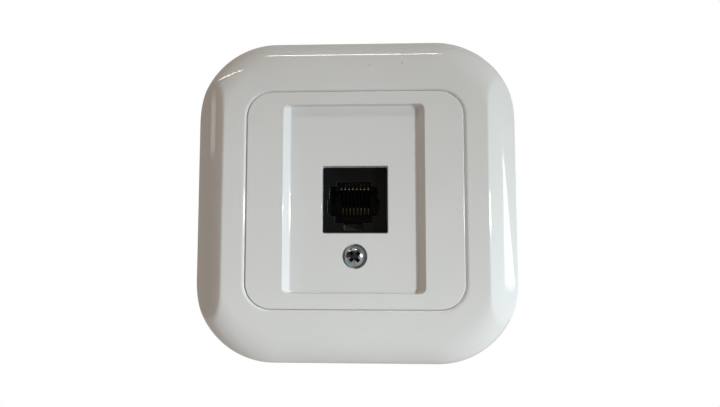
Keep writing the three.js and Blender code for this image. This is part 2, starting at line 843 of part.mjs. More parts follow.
for (const [s, side] of [
  [-1, "left"],
  [1, "right"],
]) {
  const cx = s * BLOCK_X;
  let m = block(cx - BLOCK_HALF_X, cx + BLOCK_HALF_X, BLOCK_FRONT, BLOCK_BACK, -BLOCK_HALF_Z, BLOCK_HALF_Z);
  for (let i = 0; i < 4; i++) {
    const z = slotZ(i);
    // wire slot, with a lead-in at its mouth
    const y = BLOCK_BACK;
    const wire = alongX(
      [
        [15.2, z - 0.55],
        [y - 1.0, z - 0.55],
        [y + 1, z - 1.35],
        [y + 1, z + 1.35],
        [y - 1.0, z + 0.55],
        [15.2, z + 0.55],
      ].map(([a, b]) => [a, b]),
      cx - 6,
      cx + 6,
    );
    m = m.subtract(wire);
    m = m.subtract(block(cx - 0.42, cx + 0.42, 11, 20.4, z - 1.85, z + 1.85));
  }
  add(rear, `terminal_block_${side}`, m, GREY);

  for (let i = 0; i < 4; i++) {
    const z = slotZ(i);
    const blade = alongX(
      [
        [9.7, z - 0.32],
        [12.5, z - 0.32],
        [12.5, z - 1.6],
        [19.3, z - 1.6],
        [20.1, z - 0.9],
        [19.0, z - 0.17],
        [15.6, z - 0.17],
        [15.6, z + 0.17],
        [19.0, z + 0.17],
        [20.1, z + 0.9],
        [19.3, z + 1.6],
        [12.5, z + 1.6],
        [12.5, z + 0.32],
        [9.7, z + 0.32],
      ],
      cx - 0.25,
      cx + 0.25,
    );
    const n = s < 0 ? i + 1 : i + 5;
    add(rear, `terminal_contact_${n}`, blade, TIN);
  }

  // cap that presses the wires home and covers the block
  const x0 = cx - 5.1;
  const x1 = cx + 5.1;
  let cap = slab(rect(x0, x1, -11.7, 11.7, 0.8, 2), 16.6, 23.0)
    .subtract(block(cx - 4.25, cx + 4.25, 15, 21.8, -10.85, 10.85));
  for (let i = 0; i < 4; i++) {
    const z = slotZ(i);
    cap = cap.subtract(block(cx - 6, cx + 6, 15, 19.4, z - 1.1, z + 1.1));
    cap = cap.add(block(cx - 3.6, cx + 3.6, 20.75, 22.2, z - 0.38, z + 0.38));
  }
  // grip ribs on its back
  for (const z of [-6, 0, 6]) cap = cap.add(block(cx - 3.4, cx + 3.4, 22.8, 23.5, z - 0.4, z + 0.4));
  add(rear, `terminal_cap_${side}`, cap, CAP);
}

export default outlet;
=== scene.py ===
"""Looks of a flush-mounted RJ45 data outlet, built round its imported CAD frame.

Shapes are written in millimetres in the frame's own axes (X right, Y into the
wall, Z up, Y = 0 at the wall surface) and are turned into metres when a piece
is finished.
"""
import math

import bpy
import bmesh
from mathutils import Matrix, Vector


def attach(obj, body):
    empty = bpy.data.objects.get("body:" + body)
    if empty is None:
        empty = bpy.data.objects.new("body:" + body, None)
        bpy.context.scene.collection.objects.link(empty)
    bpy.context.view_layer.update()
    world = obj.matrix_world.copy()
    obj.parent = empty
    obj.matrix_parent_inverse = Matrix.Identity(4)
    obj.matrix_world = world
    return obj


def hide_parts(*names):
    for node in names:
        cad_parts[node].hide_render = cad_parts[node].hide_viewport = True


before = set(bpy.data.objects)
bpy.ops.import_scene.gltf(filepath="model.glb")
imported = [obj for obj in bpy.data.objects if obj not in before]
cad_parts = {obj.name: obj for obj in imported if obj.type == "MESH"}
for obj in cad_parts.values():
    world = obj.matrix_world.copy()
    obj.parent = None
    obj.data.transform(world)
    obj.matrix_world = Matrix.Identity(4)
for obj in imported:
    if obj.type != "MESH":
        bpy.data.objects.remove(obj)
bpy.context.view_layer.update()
MM = 0.001

# ------------------------------------------------------------- dimensions, mm
FRONT = -9.5
JX = -0.42  # centre of the jack
SCREW_Z = -13.8  # cover screw
PITCH = 1.016
BEND_Y, BEND_Z = 2.1, 3.75
CLAW_X, CLAW_Y, CLAW_HALF = 20.0, 9.0, 6.5
CLAW_SCREW_X = 24.0
RECESS = (-17.2, 16.8, -22.5, 23.0)
BLOCK_X = 11.0

# ------------------------------------------------------------------ mesh kit
scratch = bpy.data.collections.new("scratch")
bpy.context.scene.collection.children.link(scratch)


def rad(a):
    return a * math.pi / 180


def rrect(x0, x1, z0, z1, r, nc=8, ns=1):
    """Rounded rectangle as (x, z) points, always 4 * (nc + ns) of them."""
    corners = [
        (x1 - r, z0 + r, -90),
        (x1 - r, z1 - r, 0),
        (x0 + r, z1 - r, 90),
        (x0 + r, z0 + r, 180),
    ]
    pts = []
    for k, (cx, cz, a) in enumerate(corners):
        arc = [
            (cx + r * math.cos(rad(a + 90 * i / nc)), cz + r * math.sin(rad(a + 90 * i / nc)))
            for i in range(nc + 1)
        ]
        pts += arc
        nx, nz, na = corners[(k + 1) % 4]
        q = (nx + r * math.cos(rad(na)), nz + r * math.sin(rad(na)))
        p = arc[-1]
        for j in range(1, ns):
            t = j / ns
            pts.append((p[0] + (q[0] - p[0]) * t, p[1] + (q[1] - p[1]) * t))
    return pts


def sq(h, r, nc=8, ns=1):
    return rrect(-h, h, -h, h, r, nc, ns)


def solid(verts, faces, name="part"):
    """An object in the scratch collection, with its faces pointing out."""
    me = bpy.data.meshes.new(name)
    me.from_pydata([tuple(v) for v in verts], [], faces)
    bm = bmesh.new()
    bm.from_mesh(me)
    bmesh.ops.remove_doubles(bm, verts=bm.verts, dist=1e-5)
    bmesh.ops.recalc_face_normals(bm, faces=bm.faces)
    if bm.calc_volume(signed=True) < 0:
        bmesh.ops.reverse_faces(bm, faces=bm.faces)
    bm.to_mesh(me)
    bm.free()
    ob = bpy.data.objects.new(name, me)
    scratch.objects.link(ob)
    return ob


def loft(rings, closed=False, name="part"):
    """Skin over rings of the same number of 3-D points, closed at both ends
    with a flat face, or round on itself."""
    n = len(rings[0])
    verts = [p for r in rings for p in r]
    faces = []
    m = len(rings)
    for i in range(m if closed else m - 1):
        a, b = i * n, ((i + 1) % m) * n
        for j in range(n):
            k = (j + 1) % n
            faces.append((a + j, a + k, b + k, b + j))
    if not closed:
        faces.append(tuple(range(n)))
        faces.append(tuple(range((m - 1) * n, m * n)))
    return solid(verts, faces, name)


def slab(points, y0, y1):
    """(x, z) outline from y0 back to y1."""
    return loft([[(x, y0, z) for x, z in points], [(x, y1, z) for x, z in points]])


def along_x(points, x0, x1):
    return loft([[(x0, y, z) for y, z in points], [(x1, y, z) for y, z in points]])


def along_z(points, z0, z1):
    return loft([[(x, y, z0) for x, y in points], [(x, y, z1) for x, y in points]])


def block(x0, x1, y0, y1, z0, z1):
    x0, x1 = min(x0, x1), max(x0, x1)
    return slab([(x0, z0), (x1, z0), (x1, z1), (x0, z1)], y0, y1)


def circle(cx, cz, r, n=40):
    return [
        (cx + r * math.cos(2 * math.pi * i / n), cz + r * math.sin(2 * math.pi * i / n))
        for i in range(n)
    ]


def cyl_y(x, z, r, y0, y1, n=40):
    return slab(circle(x, z, r, n), y0, y1)


def hole_y(x, z, r, y0, y1, edge, n=40):
    """Cutter for a round hole with a rounded rim at both faces."""
    rings = []
    prof = [(r + edge + 0.4, y0 - 0.4)]
    for i in range(5):
        t = rad(90 * i / 4)
        prof.append((r + edge * (1 - math.sin(t)), y0 + edge * (1 - math.cos(t))))
    for i in range(5):
        t = rad(90 * i / 4)
        prof.append((r + edge * (1 - math.cos(t)), y1 - edge * (1 - math.sin(t))))
    prof.append((r + edge + 0.4, y1 + 0.4))
    for rr, y in prof:
        rings.append([(px, y, pz) for px, pz in circle(x, z, rr, n)])
    return loft(rings)


def cyl_z(x, y, r, z0, z1, n=36):
    p = [(x + r * math.cos(2 * math.pi * i / n), y + r * math.sin(2 * math.pi * i / n)) for i in range(n)]
    return along_z(p, z0, z1)


def turned(cx, cz, profile, n=48, axis="y"):
    """A body turned about an axis along Y (or Z). profile is [(r, along)];
    r may be a function of the angle. Ends close on the axis."""
    verts, faces, rings = [], [], []
    for r, y in profile:
        if not callable(r) and r < 1e-6:
            rings.append([len(verts)])
            verts.append((cx, y, cz))
            continue
        start = len(verts)
        for j in range(n):
            t = 2 * math.pi * j / n
            rr = r(t) if callable(r) else r
            verts.append((cx + rr * math.cos(t), y, cz + rr * math.sin(t)))
        rings.append(list(range(start, start + n)))
    for a, b in zip(rings, rings[1:]):
        if len(a) == 1 and len(b) == 1:
            continue
        for j in range(n):
            k = (j + 1) % n
            if len(a) == 1:
                faces.append((a[0], b[k], b[j]))
            elif len(b) == 1:
                faces.append((a[j], a[k], b[0]))
            else:
                faces.append((a[j], a[k], b[k], b[j]))
    if axis == "z":  # (x, y, z) -> turned about Z: along becomes Z
        verts = [(v[0], cz + (v[2] - cz), v[1]) for v in verts]
    return solid(verts, faces)


def smooth_step(points, per=6):
    """Catmull-Rom through 2-D points."""
    out = []
    n = len(points)
    for i in range(n - 1):
        p0 = points[max(i - 1, 0)]
        p1, p2 = points[i], points[i + 1]
        p3 = points[min(i + 2, n - 1)]
        for k in range(per):
            t = k / per
            out.append(
                tuple(
                    0.5
                    * (
                        2 * p1[c]
                        + (p2[c] - p0[c]) * t
                        + (2 * p0[c] - 5 * p1[c] + 4 * p2[c] - p3[c]) * t * t
                        + (3 * p1[c] - p0[c] - 3 * p2[c] + p3[c]) * t * t * t
                    )
                    for c in (0, 1)
                )
            )
    out.append(tuple(points[-1]))
    return out


def filleted(points, r, n=5):
    """Polyline with its corners rounded to radius r."""
    out = [points[0]]
    for a, b, c in zip(points, points[1:], points[2:]):
        u = Vector((a[0] - b[0], a[1] - b[1]))
        v = Vector((c[0] - b[0], c[1] - b[1]))
        lu, lv = u.length, v.length
        u.normalize()
        v.normalize()
        ang = math.acos(max(-1, min(1, u.dot(v))))
        if ang > rad(176):
            out.append(b)
            continue
        d = min(r / math.tan(ang / 2), lu * 0.45, lv * 0.45)
        rr = d * math.tan(ang / 2)
        p = Vector(b) + u * d
        q = Vector(b) + v * d
        bis = (u + v).normalized()
        c0 = Vector(b) + bis * (rr / math.sin(ang / 2))
        a0 = math.atan2(p.y - c0.y, p.x - c0.x)
        a1 = math.atan2(q.y - c0.y, q.x - c0.x)
        da = (a1 - a0 + math.pi) % (2 * math.pi) - math.pi
        for i in range(n + 1):
            t = a0 + da * i / n
            out.append((c0.x + rr * math.cos(t), c0.y + rr * math.sin(t)))
    out.append(points[-1])
    return out


def ribbon(path, x, w, t, r=0.09, tip=0.0):
    """A flat wire of width w (along X) and thickness t along a [y, z] path,
    with rounded edges; the tip argument is not used."""
    rings = []
    n = len(path)
    sec = rrect(-w / 2, w / 2, -t / 2, t / 2, r, 3, 1)
    for i in range(n):
        a = Vector(path[max(0, i - 1)])
        c = Vector(path[min(n - 1, i + 1)])
        d = (c - a).normalized()
        nn = Vector((-d.y, d.x))
        p = Vector(path[i])
        k = 1.0
        rings.append([(x + sx * k, p.x + nn.x * st * k, p.y + nn.y * st * k) for sx, st in sec])
    for end, e in ((0, -1), (-1, 1)):
        # short tapered end so that the wire is not cut dead square
        p = Vector(path[end])
        q = Vector(path[1 if end == 0 else -2])
        d = (p - q).normalized()
        nn = Vector((-d.y, d.x)) * e
        nn = Vector((-d.y, d.x)) if end == -1 else Vector((d.y, -d.x))
        k = 0.62
        ring = [(x + sx * k, p.x + d.x * 0.06 + nn.x * st * k, p.y + d.y * 0.06 + nn.y * st * k) for sx, st in sec]
        if end == 0:
            rings.insert(0, ring)
        else:
            rings.append(ring)
    return loft(rings)


def _op(a, b, op):
    m = a.modifiers.new("b", "BOOLEAN")
    m.object = b
    m.operation = op
    m.solver = "MANIFOLD"
    bpy.context.view_layer.update()
    dg = bpy.context.evaluated_depsgraph_get()
    me = bpy.data.meshes.new_from_object(a.evaluated_get(dg))
    a.modifiers.clear()
    old = a.data
    a.data = me
    bpy.data.meshes.remove(old)
    bm_ = b.data
    bpy.data.objects.remove(b)
    bpy.data.meshes.remove(bm_)
    return a


def cut(a, *bs):
    for b in bs:
        _op(a, b, "DIFFERENCE")
    return a


def add(a, *bs):
    for b in bs:
        _op(a, b, "UNION")
    return a


def keep(a, b):
    return _op(a, b, "INTERSECT")


def bevel(ob, width, angle=30, segments=2, where=None):
    """Rounds the sharp edges of a solid in its mesh."""
    bm = bmesh.new()
    bm.from_mesh(ob.data)
    bmesh.ops.remove_doubles(bm, verts=bm.verts, dist=2e-3)
    bmesh.ops.dissolve_limit(
        bm, angle_limit=rad(0.6), verts=bm.verts, edges=bm.edges, delimit=set()
    )
    bmesh.ops.dissolve_degenerate(bm, dist=1e-3, edges=bm.edges)
    es = [
        e
        for e in bm.edges
        if len(e.link_faces) == 2
        and e.calc_face_angle(0) > rad(angle)
        and (where is None or where((e.verts[0].co + e.verts[1].co) / 2, e))
    ]
    if es:
        bmesh.ops.bevel(
            bm,
            geom=es,
            offset=width,
            offset_type="OFFSET",
            segments=segments,
            profile=0.5,
            affect="EDGES",
            clamp_overlap=True,
            miter_outer="ARC",
            miter_inner="SHARP",
        )
    bmesh.ops.remove_doubles(bm, verts=bm.verts, dist=1e-4)
    bmesh.ops.dissolve_degenerate(bm, dist=1e-4, edges=bm.edges)
    bmesh.ops.recalc_face_normals(bm, faces=bm.faces)
    if bm.calc_volume(signed=True) < 0:
        bmesh.ops.reverse_faces(bm, faces=bm.faces)
    bm.to_mesh(ob.data)
    bm.free()
    ob["bevelled"] = 1
    return ob


MATS = {}


def face_normals(me, limit=56.0):
    """Custom normals: wide flat faces stay dead flat, and the rounded edges
    between them blend from one to the next."""
    bm = bmesh.new()
    bm.from_mesh(me)
    bm.normal_update()
    bm.faces.ensure_lookup_table()
    wide = []
    for f in bm.faces:
        ok = True
        for e in f.edges:
            if len(e.link_faces) == 2:
                a = e.calc_face_angle(0)
                if rad(1.0) < a < rad(19):
                    ok = False
                    break
        wide.append(ok)
    weight = [f.calc_area() * (400.0 if w else 1.0) for f, w in zip(bm.faces, wide)]
    cos_limit = math.cos(rad(limit))
    normals = []
    for f in bm.faces:
        for v in f.verts:
            total = Vector((0, 0, 0))
            for g in v.link_faces:
                if g.normal.dot(f.normal) > cos_limit:
                    total += g.normal * weight[g.index]
            normals.append(total.normalized() if total.length > 0 else f.normal.copy())
    bm.free()
    me.normals_split_custom_set(normals)


def piece(ob, name, body, nodes, mats, sharp=34, weighted=True):
    """Turns a scratch solid into a finished piece in metres."""
    scratch.objects.unlink(ob)
    bpy.context.scene.collection.objects.link(ob)
    ob.name = name
    me = ob.data
    me.name = name
    me.transform(Matrix.Scale(MM, 4))
    idx = [p.material_index for p in me.polygons]
    me.materials.clear()
    mats = mats if isinstance(mats, (list, tuple)) else [mats]
    for m in mats:
        me.materials.append(MATS[m])
    if len(mats) == 1:
        idx = [0] * len(idx)
    me.polygons.foreach_set("material_index", idx)
    me.polygons.foreach_set("use_smooth", [True] * len(me.polygons))
    if ob.get("bevelled"):
        weighted = False
        me.update()
        face_normals(me)
    else:
        me.set_sharp_from_angle(angle=rad(sharp))
    me.update()
    if weighted:
        w = ob.modifiers.new("weighted_normals", "WEIGHTED_NORMAL")
        w.keep_sharp = True
        w.weight = 60
    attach(ob, body)
    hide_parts(*([nodes] if isinstance(nodes, str) else nodes))
    return ob


# ---------------------------------------------------------------- node kit
class Tree:
    """Small helper for building a node tree."""

    def __init__(self, tree):
        self.t = tree
        tree.nodes.clear()

    def n(self, kind, inputs=None, **props):
        node = self.t.nodes.new(kind)
        for k, v in props.items():
            setattr(node, k, v)
        for k, v in (inputs or {}).items():
            self.put(node, k, v)
        return node

    def put(self, node, key, v):
        s = node.inputs[key]
        if isinstance(v, bpy.types.NodeSocket):
            self.t.links.new(v, s)
        else:
            s.default_value = v

    def math(self, op, a, b=None, c=None, clamp=False):
        node = self.n("ShaderNodeMath", operation=op, use_clamp=clamp)
        for i, v in enumerate((a, b, c)):
            if v is not None:
                self.put(node, i, v)
        return node.outputs[0]

    def ramp(self, fac, stops, mode="LINEAR"):
        node = self.n("ShaderNodeValToRGB", {"Fac": fac})
        cr = node.color_ramp
        cr.interpolation = mode
        while len(cr.elements) < len(stops):
            cr.elements.new(0.5)
        for e, (p, c) in zip(cr.elements, stops):
            e.position = p
            e.color = c if len(c) == 4 else (*c, 1)
        return node.outputs["Color"]

    def grey(self, fac, lo, hi, vlo=0.0, vhi=1.0):
        return self.n(
            "ShaderNodeMapRange",
            {"Value": fac, "From Min": lo, "From Max": hi, "To Min": vlo, "To Max": vhi},
            clamp=True,
        ).outputs["Result"]

    def noise(self, vec, scale, detail=3.0, rough=0.55, distort=0.0):
        return self.n(
            "ShaderNodeTexNoise",
            {"Vector": vec, "Scale": scale, "Detail": detail, "Roughness": rough, "Distortion": distort},
        ).outputs["Fac"]

    def mix(self, fac, a, b, mode="MIX"):
        node = self.n("ShaderNodeMix", data_type="RGBA", blend_type=mode)
        self.put(node, 0, fac)
        self.put(node, 6, a)
        self.put(node, 7, b)
        return node.outputs[2]


def srgb(r, g, b, k=1.0):
    def f(c):
        c /= 255
        return (c / 12.92 if c <= 0.04045 else ((c + 0.055) / 1.055) ** 2.4) * k

    return (f(r), f(g), f(b), 1)


def material(name):
    m = bpy.data.materials.new(name)
    m.use_nodes = True
    t = Tree(m.node_tree)
    out = t.n("ShaderNodeOutputMaterial")
    bsdf = t.n("ShaderNodeBsdfPrincipled")
    t.t.links.new(bsdf.outputs[0], out.inputs[0])
    vec = t.n("ShaderNodeTexCoord").outputs["Object"]
    MATS[name] = m
    return t, bsdf, vec


def bumps(t, bsdf, layers):
    """layers: (height socket, strength, distance in metres)."""
    normal = None
    for h, s, d in layers:
        b = t.n("ShaderNodeBump", {"Height": h, "Strength": s, "Distance": d})
        if normal is not None:
            t.t.links.new(normal, b.inputs["Normal"])
        normal = b.outputs[0]
    t.t.links.new(normal, bsdf.inputs["Normal"])


def plastic(name, base, dark, rough, fine=900.0, fine_bump=0.00001, ior=1.5, specks=True, wave=0.00002):
    """Moulded plastic: slow tone and gloss variation, fine skin, a few specks
    of dirt and edges polished by handling."""
    t, bsdf, vec = material(name)
    slow = t.noise(vec, 38.0, 3.0)
    cloud = t.noise(vec, 140.0, 4.0)
    skin = t.noise(vec, fine, 2.0)
    col = t.mix(t.grey(slow, 0.35, 0.65), base, dark)
    if specks:
        v = t.n("ShaderNodeTexVoronoi", {"Vector": vec, "Scale": 260.0, "Randomness": 1.0})
        pick = t.math("GREATER_THAN", t.n("ShaderNodeSeparateColor", {"Color": v.outputs["Color"]}).outputs[0], 0.92)
        size = t.grey(t.n("ShaderNodeSeparateColor", {"Color": v.outputs["Color"]}).outputs[1], 0, 1, 0.030, 0.075)
        dot = t.math("LESS_THAN", v.outputs["Distance"], size)
        mask = t.math("MULTIPLY", pick, dot)
        col = t.mix(t.math("MULTIPLY", mask, 0.75), col, srgb(88, 80, 70))
    geo = t.n("ShaderNodeNewGeometry")
    edge = t.grey(geo.outputs["Pointiness"], 0.52, 0.60)
    # painted shade: crevices, where pointiness is low, are darkened towards a warm grey
    crevice_shade = t.grey(geo.outputs["Pointiness"], 0.40, 0.48, 1.0, 0.0)
    col = t.mix(t.math("MULTIPLY", crevice_shade, 0.22), col, srgb(150, 141, 128))
    t.put(bsdf, "Base Color", col)
    lo, hi = rough
    r = t.grey(cloud, 0.3, 0.7, lo, hi)
    r = t.math("SUBTRACT", r, t.math("MULTIPLY", edge, 0.05))
    smudge = t.grey(t.noise(vec, 24.0, 5.0, 0.6, 0.5), 0.50, 0.70, 0.0, 0.02)
    t.put(bsdf, "Roughness", t.math("ADD", r, smudge, clamp=True))
    bsdf.inputs["IOR"].default_value = ior
    bumps(t, bsdf, [(slow, 0.5, wave), (skin, 0.6, fine_bump)])
    return t, bsdf


def metal(name, base, alt, rough, brush_axis=None, tint=None, scratch=0.6, spangle=0.0, shade=None):
    t, bsdf, vec = material(name)
    if brush_axis is not None:
        mp = t.n("ShaderNodeMapping", {"Vector": vec, "Scale": brush_axis})
        grain = t.noise(mp.outputs[0], 1.0, 4.0, 0.6)
    else:
        grain = t.noise(vec, 2600.0, 3.0)
    slow = t.noise(vec, 160.0, 4.0, 0.6, 0.6)
    fine = t.noise(vec, 5200.0, 2.0)
    col = t.mix(t.grey(slow, 0.35, 0.68), base, alt)
    if spangle:
        v = t.n("ShaderNodeTexVoronoi", {"Vector": vec, "Scale": 420.0})
        tone = t.n("ShaderNodeSeparateColor", {"Color": v.outputs["Color"]}).outputs[0]
        col = t.mix(t.math("MULTIPLY", tone, spangle), col, srgb(120, 124, 128))
    if tint is not None:
        mottle = t.noise(vec, 240.0, 2.0, 0.5, 2.0)
        col = t.mix(t.grey(mottle, 0.46, 0.66, 0.0, 0.5), col, tint)
    if not spangle:
        geo = t.n("ShaderNodeNewGeometry")
        edge = t.grey(geo.outputs["Pointiness"], 0.53, 0.62)
        crevice_shade = t.grey(geo.outputs["Pointiness"], 0.38, 0.48, 1.0, 0.0)
        # painted highlight: sharp convex edges are lightened towards near white; painted shade: crevices are darkened
        col = t.mix(t.math("MULTIPLY", edge, 0.45), col, srgb(232, 234, 236))
        col = t.mix(t.math("MULTIPLY", crevice_shade, 0.55), col, srgb(70, 66, 60))
    if shade is not None:
        mask, tone = shade(t, vec)
        col = t.mix(mask, col, tone)
    t.put(bsdf, "Base Color", col)
    bsdf.inputs["Metallic"].default_value = 1.0
    lo, hi = rough
    r = t.grey(slow, 0.3, 0.7, lo, hi)
    r = t.math("ADD", r, t.math("MULTIPLY", t.math("SUBTRACT", grain, 0.5), 0.16))
    t.put(bsdf, "Roughness", t.math("MAXIMUM", r, 0.06, clamp=True))
    bumps(t, bsdf, [(grain, 0.5 * scratch, 0.000012), (fine, 0.35, 0.000006)])
    return t, bsdf


plastic("gloss_white", srgb(231, 231, 230), srgb(228, 228, 226), (0.032, 0.058), 1400.0, 0.0000010, 1.5, True, 0.000005)
plastic("black_jack", srgb(11, 14, 18), srgb(8, 10, 13), (0.26, 0.38), 3800.0, 0.000012, 1.36, False)
plastic("black_insert", srgb(10, 12, 14), srgb(8, 9, 11), (0.34, 0.46), 3000.0, 0.000010, 1.4, False)
plastic("grey_carrier", srgb(182, 184, 182), srgb(172, 174, 172), (0.42, 0.56), 2600.0, 0.000014, 1.49, True)
plastic("terminal_white", srgb(222, 221, 212), srgb(212, 211, 200), (0.34, 0.48), 2600.0, 0.000008, 1.5, True)
plastic("cap_ivory", srgb(230, 228, 220), srgb(222, 220, 210), (0.28, 0.42), 2200.0, 0.000008, 1.5, True)
plastic("rubber_black", srgb(32, 32, 33), srgb(24, 24, 25), (0.62, 0.8), 2200.0, 0.00002, 1.5, False)
metal("zinc", srgb(176, 182, 186), srgb(150, 156, 162), (0.20, 0.34), None, srgb(150, 172, 196), 0.5)


def recess_painted_shade(t, vec):
    """Painted shade down in the driver recess of the cover screw: the deep middle is darkened, mottled."""
    p = t.n("ShaderNodeSeparateXYZ", {"Vector": vec})
    z = t.math("SUBTRACT", p.outputs[2], SCREW_Z * 0.001)
    r = t.math("SQRT", t.math("ADD", t.math("MULTIPLY", p.outputs[0], p.outputs[0]), t.math("MULTIPLY", z, z)))
    deep = t.grey(p.outputs[1], -0.00845, -0.0080)
    mottle = t.noise(vec, 900.0, 3.0)
    mask = t.math("MULTIPLY", t.math("MULTIPLY", deep, t.grey(r, 0.00185, 0.0015)), t.grey(mottle, 0.25, 0.45, 0.8, 0.95))
    return mask, srgb(96, 104, 114)


def contact_painted_shade(t, vec):
    """Painted shade on the lower ends of the contacts, away from the rubbed bends."""
    p = t.n("ShaderNodeSeparateXYZ", {"Vector": vec})
    back_end = t.math("MULTIPLY", t.grey(p.outputs[1], 0.0040, 0.0062), t.grey(p.outputs[2], 0.0024, 0.0008))
    mottle = t.noise(vec, 1500.0, 3.0)
    return t.math("MULTIPLY", back_end, t.grey(mottle, 0.25, 0.6, 0.84, 0.97)), srgb(76, 76, 60)


# the screw head gets painted shade in its driver recess
metal("zinc_head", srgb(190, 196, 198), srgb(150, 156, 160), (0.15, 0.27), None, srgb(120, 158, 182), 0.5, 0.0, recess_painted_shade)
metal("galvanised", srgb(178, 182, 184), srgb(156, 160, 164), (0.34, 0.48), (90.0, 2600.0, 1500.0), None, 0.7, 0.35)
# the contacts get painted shade on their lower ends
metal("gold", srgb(228, 219, 192), srgb(204, 192, 156), (0.14, 0.24), None, None, 0.5, 0.0, contact_painted_shade)
metal("tin", srgb(206, 208, 208), srgb(180, 183, 184), (0.24, 0.38), None, None, 0.5)
metal("solder", srgb(196, 198, 198), srgb(168, 170, 172), (0.16, 0.32), None, None, 0.3)


def laminate():
    """Green solder mask over woven glass, with copper showing through it."""
    t, bsdf, vec = material("board_green")
    mp = t.n("ShaderNodeMapping", {"Vector": vec, "Scale": (1.0, 1.0, 1.0)})
    wx = t.n("ShaderNodeTexWave", {"Vector": mp.outputs[0], "Scale": 260.0, "Distortion": 0.6, "Detail": 1.0}, wave_type="BANDS", bands_direction="X").outputs["Fac"]
    wz = t.n("ShaderNodeTexWave", {"Vector": mp.outputs[0], "Scale": 260.0, "Distortion": 0.6, "Detail": 1.0}, wave_type="BANDS", bands_direction="Z").outputs["Fac"]
    weave = t.math("MULTIPLY", wx, wz)
    slow = t.noise(vec, 120.0, 3.0)
    col = t.mix(t.grey(slow, 0.35, 0.65), srgb(30, 98, 52), srgb(24, 84, 44))
    col = t.mix(t.math("MULTIPLY", weave, 0.18), col, srgb(62, 128, 74))
    t.put(bsdf, "Base Color", col)
    t.put(bsdf, "Roughness", t.grey(slow, 0.3, 0.7, 0.24, 0.36))
    bsdf.inputs["IOR"].default_value = 1.52
    bumps(t, bsdf, [(weave, 0.5, 0.00001), (t.noise(vec, 2400.0, 2.0), 0.4, 0.000004)])


laminate()


def mask_over_copper():
    t, bsdf, vec = material("board_trace")
    slow = t.noise(vec, 300.0, 3.0)
    col = t.mix(t.grey(slow, 0.35, 0.65), srgb(58, 132, 70), srgb(48, 118, 60))
    t.put(bsdf, "Base Color", col)
    t.put(bsdf, "Roughness", t.grey(slow, 0.3, 0.7, 0.22, 0.34))
    bumps(t, bsdf, [(t.noise(vec, 2400.0, 2.0), 0.4, 0.000004)])


mask_over_copper()

# ---------------------------------------------------------------- outer frame
def smooth_max(a, b, k):
    d = abs(a - b) / k
    return max(a, b) + (k * math.log1p(math.exp(-d)) if d < 30 else 0.0)


def flank(x):
    """Depth of the flat flank at the distance x from the centre."""
    d = abs(x) - 32.0
    return 0.55 * d + 0.0238 * d * d if d > 0 else 0.55 * d


def outer_frame():
    nc, ns = 56, 20
    rings = []

    def ring(h, r, depth, facet=None, k=0.075):
        pts = sq(h, r, nc, ns)
        out = []
        for x, z in pts:
            d = depth
            if facet is not None:
                d = smooth_max(depth, flank(x) + facet, k)
            out.append((x, FRONT + d, z))
        rings.append(out)

    # wall of the opening, its rounded edge and the flat front
    ring(26.28, 6.25, 3.3)
    ring(26.28, 6.25, 3.05)
    ring(26.28, 6.25, 1.6)
    for i in range(10):
        t = rad(90 * i / 9)
        ring(26.28 + 0.85 * (1 - math.cos(t)), 6.25 + 0.85 * (1 - math.cos(t)), 0.72 * (1 - math.sin(t)))
    for h in (27.6, 28.6, 29.6, 30.6, 31.2, 31.5, 31.7, 31.82, 31.92):
        ring(h, 7.1 + (h - 27.13) * 6.9 / 4.87, 0.0, 0.0)
    # rounded flank
    ts = [0, 0.7, 1.4, 2.2, 3.2, 4.4, 6] + [8 + 2.05 * i for i in range(41)]
    for a in ts:
        t = rad(min(a, 90))
        s = math.sin(t)
        ring(32 + 8.1 * s, 14 + 6.1 * s, 6.0 * (1 - math.cos(t)), 0.0)
    # skirt
    top = rings[-1]
    for f in (0.25, 0.6, 0.9, 1.0):
        rings.append([(x, y + (FRONT + 9.02 - y) * f, z) for x, y, z in top])
    for i in range(1, 4):
        t = rad(30 * i)
        ring(40.1 - 0.18 * (1 - math.cos(t)), 20.1, 9.02 + 0.18 * math.sin(t))
    # back edge and inside
    ring(38.5, 18.5, 9.2)
    ring(38.2, 18.2, 9.0)
    base = len(rings)
    for i in range(15, -1, -1):
        t = rad(6 * i)
        s = math.sin(t)
        pts = sq(29.8 + 8.4 * s, 11.0 + 7.2 * s, nc, ns)
        rings.append(
            [
                (x, FRONT + min(9.0, smooth_max(2.0 + 6.0 * (1 - math.cos(t)), flank(x) + 2.15, 0.15)), z)
                for x, z in pts
            ]
        )
    ring(29.0, 8.0, 2.0)
    ring(28.5, 7.4, 2.3)
    ring(28.5, 7.4, 7.95)
    ring(28.4, 7.3, 8.1)
    ring(27.0, 5.7, 8.1)
    ring(26.9, 5.6, 7.95)
    ring(26.9, 5.6, 5.1)
    ring(24.35, 4.75, 5.1)
    ring(24.2, 4.6, 4.95)
    ring(24.2, 4.6, 3.45)
    ring(24.35, 4.75, 3.3)
    ob = loft(rings, closed=True)
    return ob


piece(outer_frame(), "frame_shell", "surround", "outer_frame", "gloss_white", sharp=40)


# --------------------------------------------------------------- centre plate
def rounded_prism(rect, y0, y1, edge, nc=14, seg=8):
    """Rounded rectangle with its front edge rounded over. rect is x0 x1 z0 z1 r."""
    x0, x1, z0, z1, r = rect
    rings = []
    for i in range(seg + 1):
        t = rad(90 * i / seg)
        g = edge * (1 - math.sin(t))
        rings.append((g, y0 + edge * (1 - math.cos(t))))
    rings.append((0, y1))
    return loft(
        [[(x, y, z) for x, z in rrect(x0 + g, x1 - g, z0 + g, z1 - g, r - g, nc)] for g, y in rings]
    )


